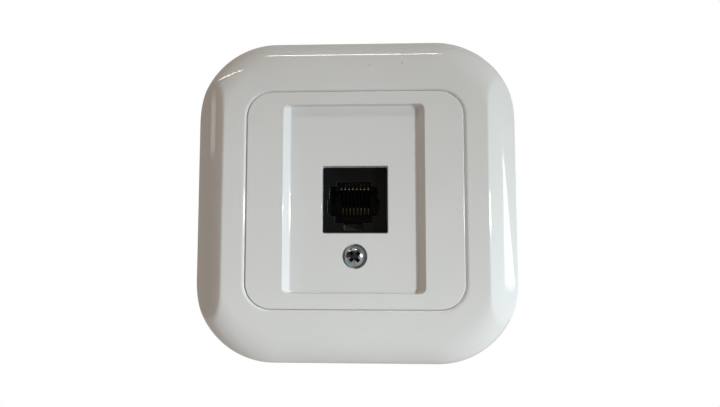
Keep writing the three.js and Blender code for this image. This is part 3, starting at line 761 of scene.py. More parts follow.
def centre_plate():
    body = rounded_prism((-26.2, 26.2, -26.2, 26.2, 6.17), FRONT, -6.45, 0.32, 28, 9)
    cut(body, slab(sq(24.65, 4.6, 16), FRONT + 1.9, 1))
    x0, x1, z0, z1 = RECESS
    add(body, slab(rrect(x0 - 1.2, x1 + 1.2, z0 - 1.0, z1 + 0.6, 1.5, 6), FRONT + 0.5, -6.0))
    skirt = cut(slab(sq(23.8, 4.2, 12), FRONT + 0.5, -4.9), slab(sq(22.7, 3.2, 12), FRONT + 1.8, 1))
    add(body, skirt)
    add(body, cyl_y(0, SCREW_Z, 3.9, FRONT + 2, -5.2, 64))
    # ribs that stiffen the plate behind its recess
    for s in (-1, 1):
        add(body, block(s * 14.6 - 0.4, s * 14.6 + 0.4, -6.4, -5.3, -22.8, 22.8))
    # recessed field with a cove round it and a small rounded rim
    # (inset of the side walls, inset of the upper and lower walls, depth)
    prof = [(-0.75, -0.75, -0.6)]
    for i in range(5):
        t = rad(90 * i / 4)
        e = 0.15 * (1 - math.sin(t))
        prof.append((-e, -e, 0.15 * (1 - math.cos(t))))
    for i in range(1, 6):
        u = i / 5
        prof.append((1.02 * u, 0.05 * u, 0.15 + 0.95 * u))
    for i in range(1, 9):
        u = i / 8
        a = rad(43 * (1 - u))
        prof.append((1.02 + 0.62 * (math.sin(rad(43)) - math.sin(a)) / math.sin(rad(43)), 0.05 + 0.30 * u * u, 1.10 + 0.45 * math.sin(rad(90 * u))))
    cutter = loft(
        [
            [(x, FRONT + d, z) for x, z in rrect(x0 + gx, x1 - gx, z0 + gz, z1 - gz, max(0.75, 1.4 - 0.4 * gx), 12)]
            for gx, gz, d in prof
        ]
    )
    cut(body, cutter)
    # window of the jack: drafted, with a softened front edge
    floor = FRONT + 1.55
    prof = [(-0.62, floor - 0.5)]
    for i in range(5):
        t = rad(90 * i / 4)
        prof.append((-0.12 * (1 - math.sin(t)), floor + 0.12 * (1 - math.cos(t))))
    prof += [(0.13, floor + 1.75), (0.16, floor + 1.95), (0.16, 1)]
    cut(
        body,
        loft(
            [
                [(x, y, z) for x, z in rrect(-8.12 + g, 8.03 - g, -8.28 + g, 8.15 - g, 0.36, 5)]
                for g, y in prof
            ]
        ),
    )
    # counterbore and hole of the cover screw
    prof = [(4.0, floor - 0.7)]
    for i in range(5):
        t = rad(90 * i / 4)
        prof.append((3.0 + 0.09 * (1 - math.sin(t)), floor + 0.09 * (1 - math.cos(t))))
    prof += [(3.0, -7.15), (1.85, -7.15), (1.75, -7.05), (1.75, 1)]
    cut(body, loft([[(px, y, pz) for px, pz in circle(0, SCREW_Z, r, 72)] for r, y in prof]))
    bm = bmesh.new()
    bm.from_mesh(body.data)
    bmesh.ops.remove_doubles(bm, verts=bm.verts, dist=1e-3)
    bmesh.ops.dissolve_limit(bm, angle_limit=rad(0.3), verts=bm.verts, edges=bm.edges, delimit=set())
    bm.to_mesh(body.data)
    bm.free()
    return body


piece(centre_plate(), "plate_face", "cover", "centre_plate", "gloss_white", sharp=30)


# -------------------------------------------------------------------- screws
def threaded(profile, y0, y1, r, depth, pitch, n=36, per=8, tail=None):
    """Adds a threaded length to a turned profile."""
    steps = int((y1 - y0) / pitch * per)
    for i in range(steps + 1):
        y = y0 + (y1 - y0) * i / steps
        fade = min(1.0, i / per, (steps - i) / per)

        def radius(t, y=y, fade=fade):
            ph = (y / pitch - t / (2 * math.pi)) % 1.0
            tri = abs(ph * 2 - 1)
            tri = min(1.0, max(0.0, (tri - 0.10) / 0.78))
            return r - depth * (1 - tri) * fade - (1 - fade) * depth * 0.5

        profile.append((radius, y))
    return profile


def cross_cutter(cx, cz, y, arm, width, depth, angle, flat=0.6):
    """Tapered cross recess: two wedge-ended bars and a squared centre."""
    out = []
    for k in (0, 90):
        a = rad(angle + k)
        ca, sa = math.cos(a), math.sin(a)
        rings = []
        for dd, al, w in (
            (-0.8, arm + 0.25, width * 0.60),
            (0.0, arm, width * 0.52),
            (depth * 0.55, arm * 0.82, width * 0.44),
            (depth, arm * 0.42, width * 0.26),
        ):
            rings.append(
                [
                    (cx + ca * u - sa * v, y + dd, cz + sa * u + ca * v)
                    for u, v in ((-al, -w), (al, -w), (al, w), (-al, w))
                ]
            )
        out.append(loft(rings))
    a = rad(angle + 45)
    ca, sa = math.cos(a), math.sin(a)
    rings = []
    for dd, h in ((-0.8, flat * 1.05), (0.0, flat), (depth * 0.75, flat * 0.62)):
        rings.append(
            [
                (cx + ca * u - sa * v, y + dd, cz + sa * u + ca * v)
                for u, v in ((-h, -h), (h, -h), (h, h), (-h, h))
            ]
        )
    out.append(loft(rings))
    return out


def cover_screw():
    head = -7.25
    prof = [(0, head - 1.85)]
    R = 2.74
    for i in range(1, 15):
        t = i / 14
        a = rad(74 * t)
        prof.append((2.46 * math.sin(a) / math.sin(rad(74)), head - 1.85 + 1.22 * (1 - math.cos(a)) / (1 - math.cos(rad(74)))))
    prof += [(2.59, head - 0.52), (2.69, head - 0.36), (R, head - 0.2), (R, head - 0.1), (R - 0.08, head), (1.62, head), (1.42, head + 0.18)]
    threaded(prof, -6.9, 8.4, 1.45, 0.27, 0.5)
    prof += [(1.0, 8.75), (0.9, 9.0), (0, 9.0)]
    s = turned(0, SCREW_Z, prof, 72)
    for c in cross_cutter(0, SCREW_Z, head - 1.72, 1.66, 0.9, 1.55, 42):
        cut(s, c)
    for k in range(4):  # index ticks between the arms
        a = rad(42 + 45 + 90 * k)
        ca, sa = math.cos(a), math.sin(a)
        rings = []
        for dd, w in ((-0.6, 0.12), (0.44, 0.02)):
            rings.append(
                [
                    (ca * u - sa * v, head - 1.85 + dd + u * 0.24, SCREW_Z + sa * u + ca * v)
                    for u, v in ((0.7, -w), (1.95, -w), (1.95, w), (0.7, w))
                ]
            )
        cut(s, loft(rings))
    return s


piece(cover_screw(), "cover_screw_m3", "cover_fixing", "cover_screw", "zinc_head", sharp=26)


def washer():
    prof = []
    y0, y1, r0, r1, e = -4.95, -4.35, 1.55, 3.3, 0.14
    sec = [(r, y) for r, y in rrect(r0, r1, y0, y1, e, 4)]
    n = 64
    rings = []
    for j in range(n):
        t = 2 * math.pi * j / n
        rings.append([(r * math.cos(t), y, SCREW_Z + r * math.sin(t)) for r, y in sec])
    return loft(rings, closed=True)


piece(washer(), "washer_ring", "cover", "screw_retaining_washer", "rubber_black")


def pan_screw(x, z, seat, R, H, shank, length, drive, n=56, thread=(0.24, 0.5), slot_angle=0.0, point=0.6):
    prof = [(0, seat - H)]
    for i in range(1, 11):
        a = rad(80 * i / 10)
        prof.append((R * 0.94 * math.sin(a) / math.sin(rad(80)), seat - H + (H * 0.62) * (1 - math.cos(a)) / (1 - math.cos(rad(80)))))
    prof += [(R * 0.985, seat - H * 0.22), (R, seat - H * 0.1), (R - 0.06, seat), (shank + 0.12, seat), (shank, seat + 0.15)]
    d, p = thread
    threaded(prof, seat + 0.3, length - point, shank, d, p)
    prof += [(shank * 0.6, length), (0, length)]
    s = turned(x, z, prof, n)
    top = seat - H
    if "slot" in drive:
        w = 0.3 if R < 2 else 0.34
        b = block(-R - 1, R + 1, top - 1, top + H * 0.52, -w, w)
        b.data.transform(Matrix.Rotation(rad(slot_angle), 4, "Y"))
        b.data.transform(Matrix.Translation((x, 0, z)))
        cut(s, b)
    if "cross" in drive:
        for c in cross_cutter(x, z, top + 0.1, R * 0.56, R * 0.30, H * 0.75, slot_angle, R * 0.2):
            cut(s, c)
    return s


for s_, side in ((-1, "left"), (1, "right")):
    ob = pan_screw(s_ * CLAW_SCREW_X, 0, -1.3, 2.45, 1.75, 1.45, 16.0, ("slot", "cross"), slot_angle=90)
    piece(ob, f"claw_screw_{side}_m3", f"{side}_claw_fixing", f"claw_screw_{side}", "zinc", sharp=26)
for s_, node in ((1, "carrier_screw_upper"), (-1, "carrier_screw_lower")):
    ob = pan_screw(s_ * 12, s_ * 22.3, -3.5, 1.8, 1.0, 1.05, 1.5, ("slot",), thread=(0.18, 0.4), slot_angle=24 * s_)
    piece(ob, node + "_m2", "insert", node, "zinc", sharp=26)


def board_screw(x, z, ang):
    seat = 12.1
    s = pan_screw(0, 0, 0, 1.9, 1.25, 0.95, 7.6, ("cross",), thread=(0.2, 0.45), slot_angle=ang)
    s.data.transform(Matrix.Rotation(math.pi, 4, "Z"))
    s.data.transform(Matrix.Translation((x, seat, z)))
    return s


for s_, node in ((1, "board_screw_upper"), (-1, "board_screw_lower")):
    piece(board_screw(s_ * 13.2, s_ * 15.4, 20 + 30 * s_), node + "_m2", "insert", node, "zinc", sharp=26)


def nut():
    m = rounded_prism((-2.75, 2.75, SCREW_Z - 2.75, SCREW_Z + 2.75, 0.35), 1.2, 2.9, 0.22, 6, 4)
    cut(m, hole_y(0, SCREW_Z, 1.52, 1.2, 2.9, 0.2, 48))
    return m


piece(nut(), "square_nut_m3", "insert", "cover_screw_nut", "zinc", sharp=30)


# ------------------------------------------------------------- support frame
def support_frame():
    m = slab(sq(35.5, 12, 18), -1.2, 0)
    def through(x0, x1, z0, z1, r, nc=8):
        cut(m, slab(rrect(x0, x1, z0, z1, r, nc), -3, 1))
    through(-18.2, 18.2, -20.5, 20.5, 1.5, 8)
    for s in (-1, 1):
        through(s * 30 - 1.9, s * 30 + 1.9, -5.5, 5.5, 1.85, 10)
        through(-5.5, 5.5, s * 30 - 1.9, s * 30 + 1.9, 1.85, 10)
        for t in (-1, 1):
            through(s * 14.5 - 3.4, s * 14.5 + 3.4, t * 29.2 - 1.5, t * 29.2 + 1.5, 1.45)
            through(s * 29.9 - 1.5, s * 29.9 + 1.5, t * 15 - 3.4, t * 15 + 3.4, 1.45)
            cut(m, cyl_y(s * 28.6, t * 28.6, 1.6, -3, 1, 36))
        cut(m, cyl_y(s * CLAW_SCREW_X, 0, 1.75, -3, 1, 36))
        cut(m, cyl_y(s * 12, s * 22.3, 1.3, -3, 1, 32))
    # lips bent towards the room, with a rounded bend
    for s in (-1, 1):
        bend = [(s * 34.5, -1.0), (s * 34.5, -2.8), (s * 35.5, -2.8), (s * 35.5, -0.65), (s * 35.3, -0.3), (s * 34.9, -0.9)]
        add(m, block(s * 34.5, s * 35.5, -2.8, -1.0, -24, 24))
        add(m, block(-24, 24, -2.8, -1.0, min(s * 34.5, s * 35.5), max(s * 34.5, s * 35.5)))
    for s in (-1, 1):
        for t in (-1, 1):
            z0 = 7.2 if t > 0 else -8.2
            prof = [(18.3, -1.1), (24.5, -1.1), (24.5, 0.9)]
            prof += filleted([(24.5, 0.9), (22.2, 3.4), (22.2, 9.6), (21.1, 11.2), (19.0, 11.2), (18.3, 10.2), (18.3, -1.1)], 1.2, 5)[1:-1]
            p = [(s * x, y) for x, y in prof]
            add(m, along_z(p, z0, z0 + 1))
        cut(m, cyl_z(s * CLAW_X, CLAW_Y, 1.15, -10, 10, 32))
    return bevel(m, 0.13, 32, 2)


piece(support_frame(), "support_sheet", "insert", "support_frame", "galvanised", sharp=36)


# ------------------------------------------------------------------- carrier
def carrier():
    m = slab(rrect(-20.8, 20.8, -23.4, 23.4, 2, 8), -3.4, -1.4)
    add(m, slab(rrect(-17.6, 17.6, -19.9, 19.9, 1.2, 6), -1.7, 10.1))
    cut(m, slab(rrect(-15.8, 15.8, -18.1, 18.1, 0.8, 6), -1.0, 12))
    add(m, block(-4.6, 4.6, -1.6, 6.4, -18.4, -9.95))
    for x, z in ((-13.2, -15.4), (13.2, -15.4), (-13.2, 15.4), (13.2, 15.4)):
        add(m, cyl_y(x, z, 2.2, -1.6, 10.1, 32))
    cut(m, slab(rrect(JX - 8.75, JX + 8.75, -9.05, 9.05, 0.3, 3), -5, 12))
    cut(m, cyl_y(0, SCREW_Z, 1.7, -5, 12, 36))
    cut(m, block(-6, 2.95, 1.0, 3.1, SCREW_Z - 2.95, SCREW_Z + 2.95))
    cut(m, cyl_y(-13.2, -15.4, 1.15, 3.0, 12, 28), cyl_y(13.2, 15.4, 1.15, 3.0, 12, 28))
    for s in (-1, 1):
        cut(m, cyl_y(s * 12, s * 22.3, 1.35, -5, 1, 28))
    return bevel(m, 0.14, 32, 2)


piece(carrier(), "carrier_box", "insert", "module_carrier", "grey_carrier", sharp=36)


# --------------------------------------------------------------------- claws
for s_, side in ((-1, "left"), (1, "right")):
    px, py = CLAW_X, CLAW_Y
    outer = filleted([(px + 0.6, py - 0.6), (28.2, py - 0.6), (28.2, 22.2)], 1.5, 7)
    inner = filleted([(27.0, 22.2), (27.0, py + 0.6), (px + 0.6, py + 0.6)], 0.5, 5)
    m = along_z([(s_ * x, y) for x, y in outer + inner], -CLAW_HALF, CLAW_HALF)
    add(m, cyl_z(s_ * px, py, 1.8, -CLAW_HALF, CLAW_HALF, 44))
    for i in range(4):
        z = -CLAW_HALF + 0.35 + i * 3.5
        tooth = [(27.2, 20.6), (28.2, 20.6), (29.2, 22.9), (28.6, 23.6), (27.2, 22.2)]
        add(m, along_z([(s_ * x, y) for x, y in tooth], z, z + 1.8))
    cut(m, cyl_z(s_ * px, py, 1.15, -10, 10, 36))
    x0, x1 = sorted((s_ * (px + 2.1), s_ * (px + 6.4)))
    cut(m, slab(rrect(x0, x1, -1.8, 1.8, 0.6, 6), py - 2, py + 2))
    x0, x1 = sorted((s_ * 26.5, s_ * 28.9))
    cut(m, along_x(rrect(13, 17.5, -2.2, 2.2, 0.4, 5), x0, x1))
    bevel(m, 0.12, 32, 2)
    piece(m, f"spreading_claw_{side}", f"{side}_claw", f"claw_{side}", "galvanised", sharp=36)

    prof = [(0, -8.95), (1.1, -8.95), (1.42, -8.86), (1.55, -8.66), (1.55, -8.42), (1.48, -8.35), (1.0, -8.35)]
    prof += [(1.0, z) for z in (-6, -3, 0, 3, 6)]
    prof += [(1.0, 8.35), (1.48, 8.35), (1.55, 8.42), (1.55, 8.66), (1.42, 8.86), (1.1, 8.95), (0, 8.95)]
    pin = turned(s_ * px, py, prof, 40, axis="z")
    piece(pin, f"hinge_pin_{side}", "insert", f"claw_pin_{side}", "zinc", sharp=30)


# ---------------------------------------------------------------------- jack
def jack_housing():
    cx = JX
    m = rounded_prism((cx - 8.5, cx + 8.5, -8.8, 8.8, 0.5), -5.5, 10.0, 0.28, 5, 4)
    def hole(x0, x1, z0, z1, y1, y0=-8):
        cut(m, block(cx + x0, cx + x1, y0, y1, z0, z1))
    hole(-5.9, 5.9, 0.1, 3.3, 9.4)
    hole(-6.35, 6.35, -3.1, 0.2, 9.4)
    hole(-5.95, 5.95, -3.93, -3.0, 9.4)
    hole(-4.55, 4.55, -5.66, -3.83, 4.5)
    hole(-4.18, 4.18, 3.2, 4.45, 3)
    hole(-2.28, 2.28, -7.5, -5.56, -4.1)
    hole(-2.28, 2.28, -6.9, -5.56, 4.5, -4.2)
    add(m, block(cx - 2.48, cx + 2.48, -4.1, -3.2, -7.0, -6.05))
    cut(m, block(cx - 5.3, cx + 5.3, 1.0, 12, 2.6, 8.05))
    add(m, block(cx - 2.5, cx + 2.5, -5.0, -3.7, 8.6, 9.5))
    add(m, block(cx - 2.5, cx + 2.5, -5.0, -3.7, -9.5, -8.6))
    return bevel(m, 0.14, 32, 2)


piece(jack_housing(), "jack_shell", "insert", "jack_housing", "black_jack", sharp=36)


def contact_x(i):
    return JX + (i - 3.5) * PITCH


def contact_insert():
    cx = JX
    m = block(cx - 5.1, cx + 5.1, 1.25, 9.9, 2.85, 7.9)
    for i in range(8):
        x = contact_x(i)
        cut(m, block(x - 0.31, x + 0.31, 0, 11, 2, 5.5))
        if i % 2:
            cut(m, block(x - 0.31, x + 0.31, 6.2, 11, 5.2, 7.6))
    return bevel(m, 0.05, 32, 1)


piece(contact_insert(), "contact_comb", "insert", "contact_insert", "black_insert", sharp=36)

for i in range(8):
    x = contact_x(i)
    arm = smooth_step(
        [
            (BEND_Y + 0.45, BEND_Z + 0.12),
            (BEND_Y, BEND_Z + 0.15),
            (BEND_Y - 0.3, BEND_Z - 0.15),
            (BEND_Y - 0.2, BEND_Z - 0.62),
            (4.2, 1.72),
            (6.6, -0.25),
            (7.2, -1.05),
            (7.36, -2.0),
            (7.4, -3.3),
        ],
        6,
    )
    piece(ribbon(arm, x, 0.45, 0.29), f"contact_wire_{i + 1}", f"spring_{i + 1}", f"contact_{i + 1}", "gold", sharp=50)
    path = [
        (BEND_Y + 0.45, BEND_Z + 0.62),
        (BEND_Y + 0.0, BEND_Z + 0.65),
        (BEND_Y - 0.3, BEND_Z + 1.0),
        (BEND_Y + 0.1, BEND_Z + 1.4),
    ]
    if i % 2:
        path = smooth_step(path, 5) + [(3.2, 5.15), (6.2, 5.16), (6.6, 5.3), (7.0, 6.7), (7.35, 7.08), (7.8, 7.1), (12.7, 7.1)]
    else:
        path = smooth_step(path, 5) + [(3.2, 5.15), (8.0, 5.15), (12.7, 5.15)]
    piece(ribbon(path, x, 0.38, 0.29), f"lead_wire_{i + 1}", "insert", f"contact_lead_{i + 1}", "gold", sharp=50)


# --------------------------------------------------------- board and terminals
def slot_z(i):
    return (1.5 - i) * 5.2


def paint(ob, index):
    for p in ob.data.polygons:
        p.material_index = index
    return ob


def join(parts):
    """Several closed bodies in one mesh, each keeping its material index."""
    bm = bmesh.new()
    for ob in parts:
        bm.from_mesh(ob.data)
    me = bpy.data.meshes.new("joined")
    bm.to_mesh(me)
    bm.free()
    for ob in parts:
        d = ob.data
        bpy.data.objects.remove(ob)
        bpy.data.meshes.remove(d)
    ob = bpy.data.objects.new("joined", me)
    ob["bevelled"] = 1
    scratch.objects.link(ob)
    return ob


def polyline(points, w, y0, y1):
    """A copper track: a flat strip of width w through [x, z] points."""
    left, right = [], []
    n = len(points)
    for i in range(n):
        a = Vector(points[max(0, i - 1)])
        b = Vector(points[i])
        c = Vector(points[min(n - 1, i + 1)])
        d1 = (b - a).normalized() if i else (c - b).normalized()
        d2 = (c - b).normalized() if i < n - 1 else d1
        nn = Vector((-(d1.y + d2.y), d1.x + d2.x))
        nn.normalize()
        cosv = max(0.5, nn.dot(Vector((-d1.y, d1.x))))
        k = w / 2 / cosv
        left.append((b.x + nn.x * k, b.y + nn.y * k))
        right.append((b.x - nn.x * k, b.y - nn.y * k))
    return slab(right + left[::-1], y0, y1)


def board():
    m = slab(rrect(-17.3, 17.3, -19.5, 19.5, 1, 6), 10.4, 12.0)
    joints = [(contact_x(i), 7.1 if i % 2 else 5.15) for i in range(8)]
    blades = [(s * BLOCK_X, slot_z(i)) for s in (-1, 1) for i in range(4)]
    for x, z in joints:
        cut(m, cyl_y(x, z, 0.42, 9, 13, 20))
    for x, z in blades:
        cut(m, cyl_y(x, z, 0.62, 9, 13, 24))
    for s in (-1, 1):
        cut(m, cyl_y(s * 13.2, s * 15.4, 1.3, 9, 13, 36))
    bevel(m, 0.08, 32, 1)
    paint(m, 0)
    parts = [m]
    # tracks on the back, from the lead joints out to the blades
    for k, (bx, bz) in enumerate(blades):
        j = [0, 2, 1, 3, 7, 5, 6, 4][k]
        jx, jz = joints[j]
        s = -1 if bx < 0 else 1
        lane = s * (4.9 + 0.72 * (k % 4))
        if jz > 6:
            pts = [(jx, jz), (jx, jz + 1.1 + 0.5 * (k % 4)), (lane, jz + 1.1 + 0.5 * (k % 4)), (lane, bz + 1.0), (lane + s * 1.0, bz), (bx, bz)]
        else:
            pts = [(jx, jz), (jx, jz - 1.1 - 0.5 * (k % 4)), (lane, jz - 1.1 - 0.5 * (k % 4) - 0.4), (lane, bz + (0.8 if bz < jz else -0.8)), (lane + s * 0.8, bz), (bx, bz)]
        parts.append(paint(polyline(pts, 0.34, 11.98, 12.04), 1))
    # pads and solder
    for x, z in joints:
        cone = turned(x, z, [(0, 12.62), (0.2, 12.6), (0.26, 12.35), (0.4, 12.14), (0.62, 12.05), (0.62, 11.97), (0, 11.97)], 20)
        parts.append(paint(cone, 2))
    for x, z in blades:
        for y, d in ((10.4, -1),):
            cone = turned(x, z, [(0, y + d * 0.62), (0.28, y + d * 0.6), (0.36, y + d * 0.32), (0.55, y + d * 0.12), (0.9, y + d * 0.05), (0.9, y + 0.03), (0, y + 0.03)], 24)
            parts.append(paint(cone, 2))
    return join(parts)


piece(board(), "board_assembly", "insert", "circuit_board", ["board_green", "board_trace", "solder"], sharp=36)

for s_, side in ((-1, "left"), (1, "right")):
    cx = s_ * BLOCK_X
    m = block(cx - 4, cx + 4, 12.3, 21.5, -10.6, 10.6)
    for i in range(4):
        z = slot_z(i)
        cut(
            m,
            along_x(
                [(15.2, z - 0.55), (20.5, z - 0.55), (22.5, z - 1.35), (22.5, z + 1.35), (20.5, z + 0.55), (15.2, z + 0.55)],
                cx - 6,
                cx + 6,
            ),
        )
        cut(m, block(cx - 0.42, cx + 0.42, 11, 20.4, z - 1.85, z + 1.85))
    bevel(m, 0.12, 32, 2)
    piece(m, f"idc_block_{side}", "insert", f"terminal_block_{side}", "terminal_white", sharp=36)

    for i in range(4):
        z = slot_z(i)
        pts = [
            (9.7, z - 0.32), (12.5, z - 0.32), (12.5, z - 1.6), (19.3, z - 1.6), (19.8, z - 1.35), (20.1, z - 0.9),
            (19.0, z - 0.17), (15.6, z - 0.17), (15.5, z), (15.6, z + 0.17), (19.0, z + 0.17), (20.1, z + 0.9),
            (19.8, z + 1.35), (19.3, z + 1.6), (12.5, z + 1.6), (12.5, z + 0.32), (9.7, z + 0.32),
        ]
        blade = bevel(along_x(pts, cx - 0.25, cx + 0.25), 0.05, 40, 1)
        n = i + 1 if s_ < 0 else i + 5
        piece(blade, f"idc_blade_{n}", "insert", f"terminal_contact_{n}", "tin", sharp=36)

    cap = rounded_prism((cx - 5.1, cx + 5.1, -11.7, 11.7, 0.8), 16.6, 23.0, 0.0001, 6, 1)
    m = slab(rrect(cx - 5.1, cx + 5.1, -11.7, 11.7, 0.8, 8), 16.6, 23.0)
    d = cap.data
    bpy.data.objects.remove(cap)
    bpy.data.meshes.remove(d)
    cut(m, block(cx - 4.25, cx + 4.25, 15, 21.8, -10.85, 10.85))
    for i in range(4):
        z = slot_z(i)
        cut(m, along_x(rrect(14.0, 19.4, z - 1.1, z + 1.1, 0.7, 6), cx - 6, cx + 6))
        add(m, block(cx - 3.6, cx + 3.6, 20.75, 22.2, z - 0.38, z + 0.38))
    for z in (-6, 0, 6):
        add(m, block(cx - 3.4, cx + 3.4, 22.8, 23.5, z - 0.4, z + 0.4))
    bevel(m, 0.16, 32, 3)
    piece(m, f"idc_cap_{side}", f"{side}_cap", f"terminal_cap_{side}", "cap_ivory", sharp=36)

bpy.context.scene.collection.children.unlink(scratch)
bpy.data.collections.remove(scratch)

# ------------------------------------------------------------------- camera
cam_data = bpy.data.cameras.new("camera")
cam_data.lens = 22.5
cam_data.sensor_width = 36.0
cam_data.clip_start = 0.004
cam_data.clip_end = 20.0
cam = bpy.data.objects.new("camera", cam_data)
bpy.context.scene.collection.objects.link(cam)
yaw, pitch = 0.033, 0.064
F = Vector((-math.sin(yaw) * math.cos(pitch), math.cos(yaw) * math.cos(pitch), math.sin(pitch)))
U = Vector((math.sin(yaw) * math.sin(pitch), -math.cos(yaw) * math.sin(pitch), math.cos(pitch)))
R = Vector((math.cos(yaw), math.sin(yaw), 0))
rot = Matrix((R, U, -F)).transposed().to_4x4()
cam.matrix_world = Matrix.Translation((0.004858, -0.11666, -0.008013)) @ rot
bpy.context.scene.camera = cam

# ------------------------------------------------------------- floor, lights
def area(name, loc, target, size, power, color=(1, 1, 1), size_y=None, spread=180):
    d = bpy.data.lights.new(name, "AREA")
    d.shape = "RECTANGLE"
    d.size = size
    d.size_y = size_y or size
    d.energy = power
    d.color = color
    d.spread = rad(spread)
    o = bpy.data.objects.new(name, d)
    bpy.context.scene.collection.objects.link(o)
    o.location = loc
    o.rotation_euler = (Vector(target) - Vector(loc)).to_track_quat("-Z", "Y").to_euler()
    o.visible_camera = False
    return o


key = bpy.data.lights.new("key", "SPOT")
key.energy = 76.5
key.color = (0.84, 0.945, 1.0)
key.shadow_soft_size = 0.07
key.spot_size = rad(14.5)
key.spot_blend = 1.0
key_ob = bpy.data.objects.new("key", key)
bpy.context.scene.collection.objects.link(key_ob)
key_ob.location = (1.20, -0.84, 0.06)
key_ob.rotation_euler = (Vector((-0.05, 0, -0.09)) - key_ob.location).to_track_quat("-Z", "Y").to_euler()
area("tube_1", (-0.13, -1.11, 2.0), (-0.13, 0, 0), 1.25, 7.0, (1.0, 0.94, 0.86), 0.10)
area("tube_2", (-2.0, -1.11, 2.0), (0, 0, 0), 2.0, 6.2, (1.0, 0.88, 0.72), 0.09)

world = bpy.data.worlds.new("studio")
bpy.context.scene.world = world
world.use_nodes = True
t = Tree(world.node_tree)
out = t.n("ShaderNodeOutputWorld")
d = t.n("ShaderNodeSeparateXYZ", {"Vector": t.n("ShaderNodeTexCoord").outputs["Generated"]})
dx, dy, dz = d.outputs[0], d.outputs[1], d.outputs[2]
side_l = t.grey(dx, -0.30, -0.62)
side_r = t.grey(dx, 0.25, 0.75)
up = t.grey(dz, 0.15, 0.85)
down = t.grey(dz, -0.05, -0.6)
back = t.grey(dy, 0.08, 0.5)
env = t.mix(side_r, (0.145, 0.113, 0.088, 1), (0.36, 0.385, 0.40, 1))
env = t.mix(up, env, (0.150, 0.118, 0.096, 1))
env = t.mix(down, env, (0.25, 0.235, 0.225, 1))
env = t.mix(side_l, env, (0.085, 0.034, 0.010, 1))
env = t.mix(back, env, (0.43, 0.41, 0.395, 1))
# a pale patch low in front, and a dim one at the left
low = t.math("MULTIPLY", t.grey(dz, -0.12, -0.2), t.grey(dz, -0.64, -0.54))
low = t.math("MULTIPLY", low, t.math("MULTIPLY", t.grey(dx, -0.34, -0.26), t.grey(dx, 0.34, 0.26)))
low = t.math("MULTIPLY", low, t.grey(dy, -0.4, -0.6))
env = t.mix(low, env, (1.15, 1.16, 1.16, 1))
dim = t.math("MULTIPLY", t.grey(dz, 0.15, 0.18), t.grey(dz, 0.30, 0.26))
dim = t.math("MULTIPLY", dim, t.math("MULTIPLY", t.grey(dy, -0.05, -0.03), t.grey(dy, 0.07, 0.05)))
dim = t.math("MULTIPLY", dim, t.grey(dx, -0.9, -0.92))
env = t.mix(dim, env, (1.6, 1.5, 1.35, 1))
# a tall bright gap in front on the right, and a bright window far to the right
gap = t.math("MULTIPLY", t.grey(dy, -0.54, -0.52), t.grey(dy, -0.40, -0.42))
gap = t.math("MULTIPLY", gap, t.math("MULTIPLY", t.grey(dz, -0.30, -0.24), t.grey(dz, 0.46, 0.36)))
gap = t.math("MULTIPLY", gap, t.grey(dx, 0.5, 0.6))
env = t.mix(gap, env, (1.5, 1.6, 1.65, 1))
wx = t.grey(dx, 0.90, 0.92)
limit = t.math("ADD", t.math("MULTIPLY", t.math("SUBTRACT", 0.15, dz), 0.62), 0.02)
wy = t.math("MULTIPLY", t.grey(dy, -0.03, -0.01), t.grey(t.math("SUBTRACT", limit, dy), 0.0, 0.02))
wz = t.math("MULTIPLY", t.grey(dz, -0.125, -0.09), t.grey(dz, 0.175, 0.15))
win = t.math("MULTIPLY", t.math("MULTIPLY", wx, wy), wz)
env = t.mix(win, env, (5.4, 5.9, 6.0, 1))
bg = t.n("ShaderNodeBackground", {"Color": env, "Strength": 1.0})
white = t.n("ShaderNodeBackground", {"Color": (1, 1, 1, 1), "Strength": 1.0})
lp = t.n("ShaderNodeLightPath")
mixs = t.n("ShaderNodeMixShader")
t.t.links.new(lp.outputs["Is Camera Ray"], mixs.inputs[0])
t.t.links.new(bg.outputs[0], mixs.inputs[1])
t.t.links.new(white.outputs[0], mixs.inputs[2])
t.t.links.new(mixs.outputs[0], out.inputs[0])

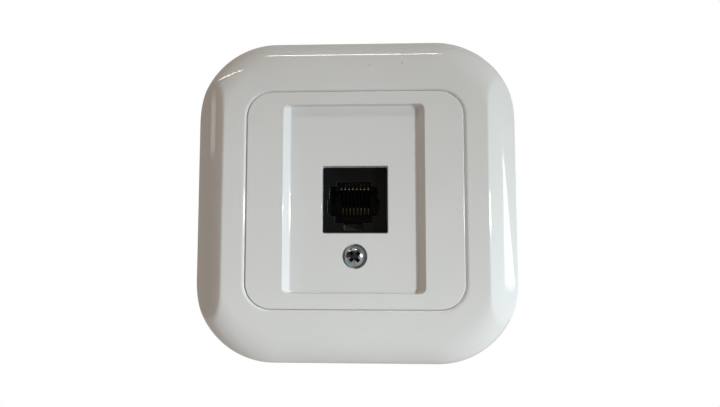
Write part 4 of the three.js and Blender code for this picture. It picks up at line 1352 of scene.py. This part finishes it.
# floor: a plain pale sheet with a rounded edge, well below the outlet
rings = []
for g, z in ((0.0, -0.124), (0.0, -0.1215), (0.0006, -0.1204), (0.0015, -0.12)):
    rings.append([(x, y, z) for x, y in rrect(-0.5 + g, 0.5 - g, -0.66 + g, 0.14 - g, 0.06 - g, 12)])
n = len(rings[0])
verts = [p for r_ in rings for p in r_]
faces = []
for i in range(len(rings) - 1):
    for j in range(n):
        k = (j + 1) % n
        faces.append((i * n + j, i * n + k, (i + 1) * n + k, (i + 1) * n + j))
faces.append(tuple(range((len(rings) - 1) * n, len(rings) * n)))
me = bpy.data.meshes.new("floor")
me.from_pydata(verts, [], faces)
floor = bpy.data.objects.new("floor", me)
bpy.context.scene.collection.objects.link(floor)
tf, bf, vf = material("floor_pale")
tone = tf.noise(vf, 12.0, 4.0)
tf.put(bf, "Base Color", tf.mix(tf.grey(tone, 0.35, 0.65), srgb(240, 240, 239), srgb(236, 236, 234)))
tf.put(bf, "Roughness", tf.grey(tone, 0.3, 0.7, 0.6, 0.75))
pos = tf.n("ShaderNodeSeparateXYZ", {"Vector": vf})
rx = tf.math("POWER", tf.math("ABSOLUTE", tf.math("DIVIDE", pos.outputs[0], 0.5)), 4.0)
ry = tf.math("POWER", tf.math("ABSOLUTE", tf.math("DIVIDE", tf.math("ADD", pos.outputs[1], 0.26), 0.4)), 4.0)
rim = tf.math("POWER", tf.math("ADD", rx, ry), 0.25)
bf.inputs["Emission Color"].default_value = (1, 1, 1, 1)
glow = tf.n("ShaderNodeMapRange", {"Value": rim, "From Min": 0.35, "From Max": 0.97, "To Min": 0.36, "To Max": 0.95}, interpolation_type="SMOOTHSTEP").outputs[0]
seen = tf.n("ShaderNodeLightPath").outputs["Is Camera Ray"]
tf.put(bf, "Emission Strength", tf.math("MULTIPLY", glow, tf.math("ADD", tf.math("MULTIPLY", seen, 0.85), 0.15)))
bumps(tf, bf, [(tf.noise(vf, 600.0, 3.0), 0.3, 0.0001)])
me.materials.append(MATS["floor_pale"])

bpy.context.scene.view_settings.view_transform = "Standard"
bpy.context.scene.view_settings.look = "None"

bpy.context.view_layer.update()
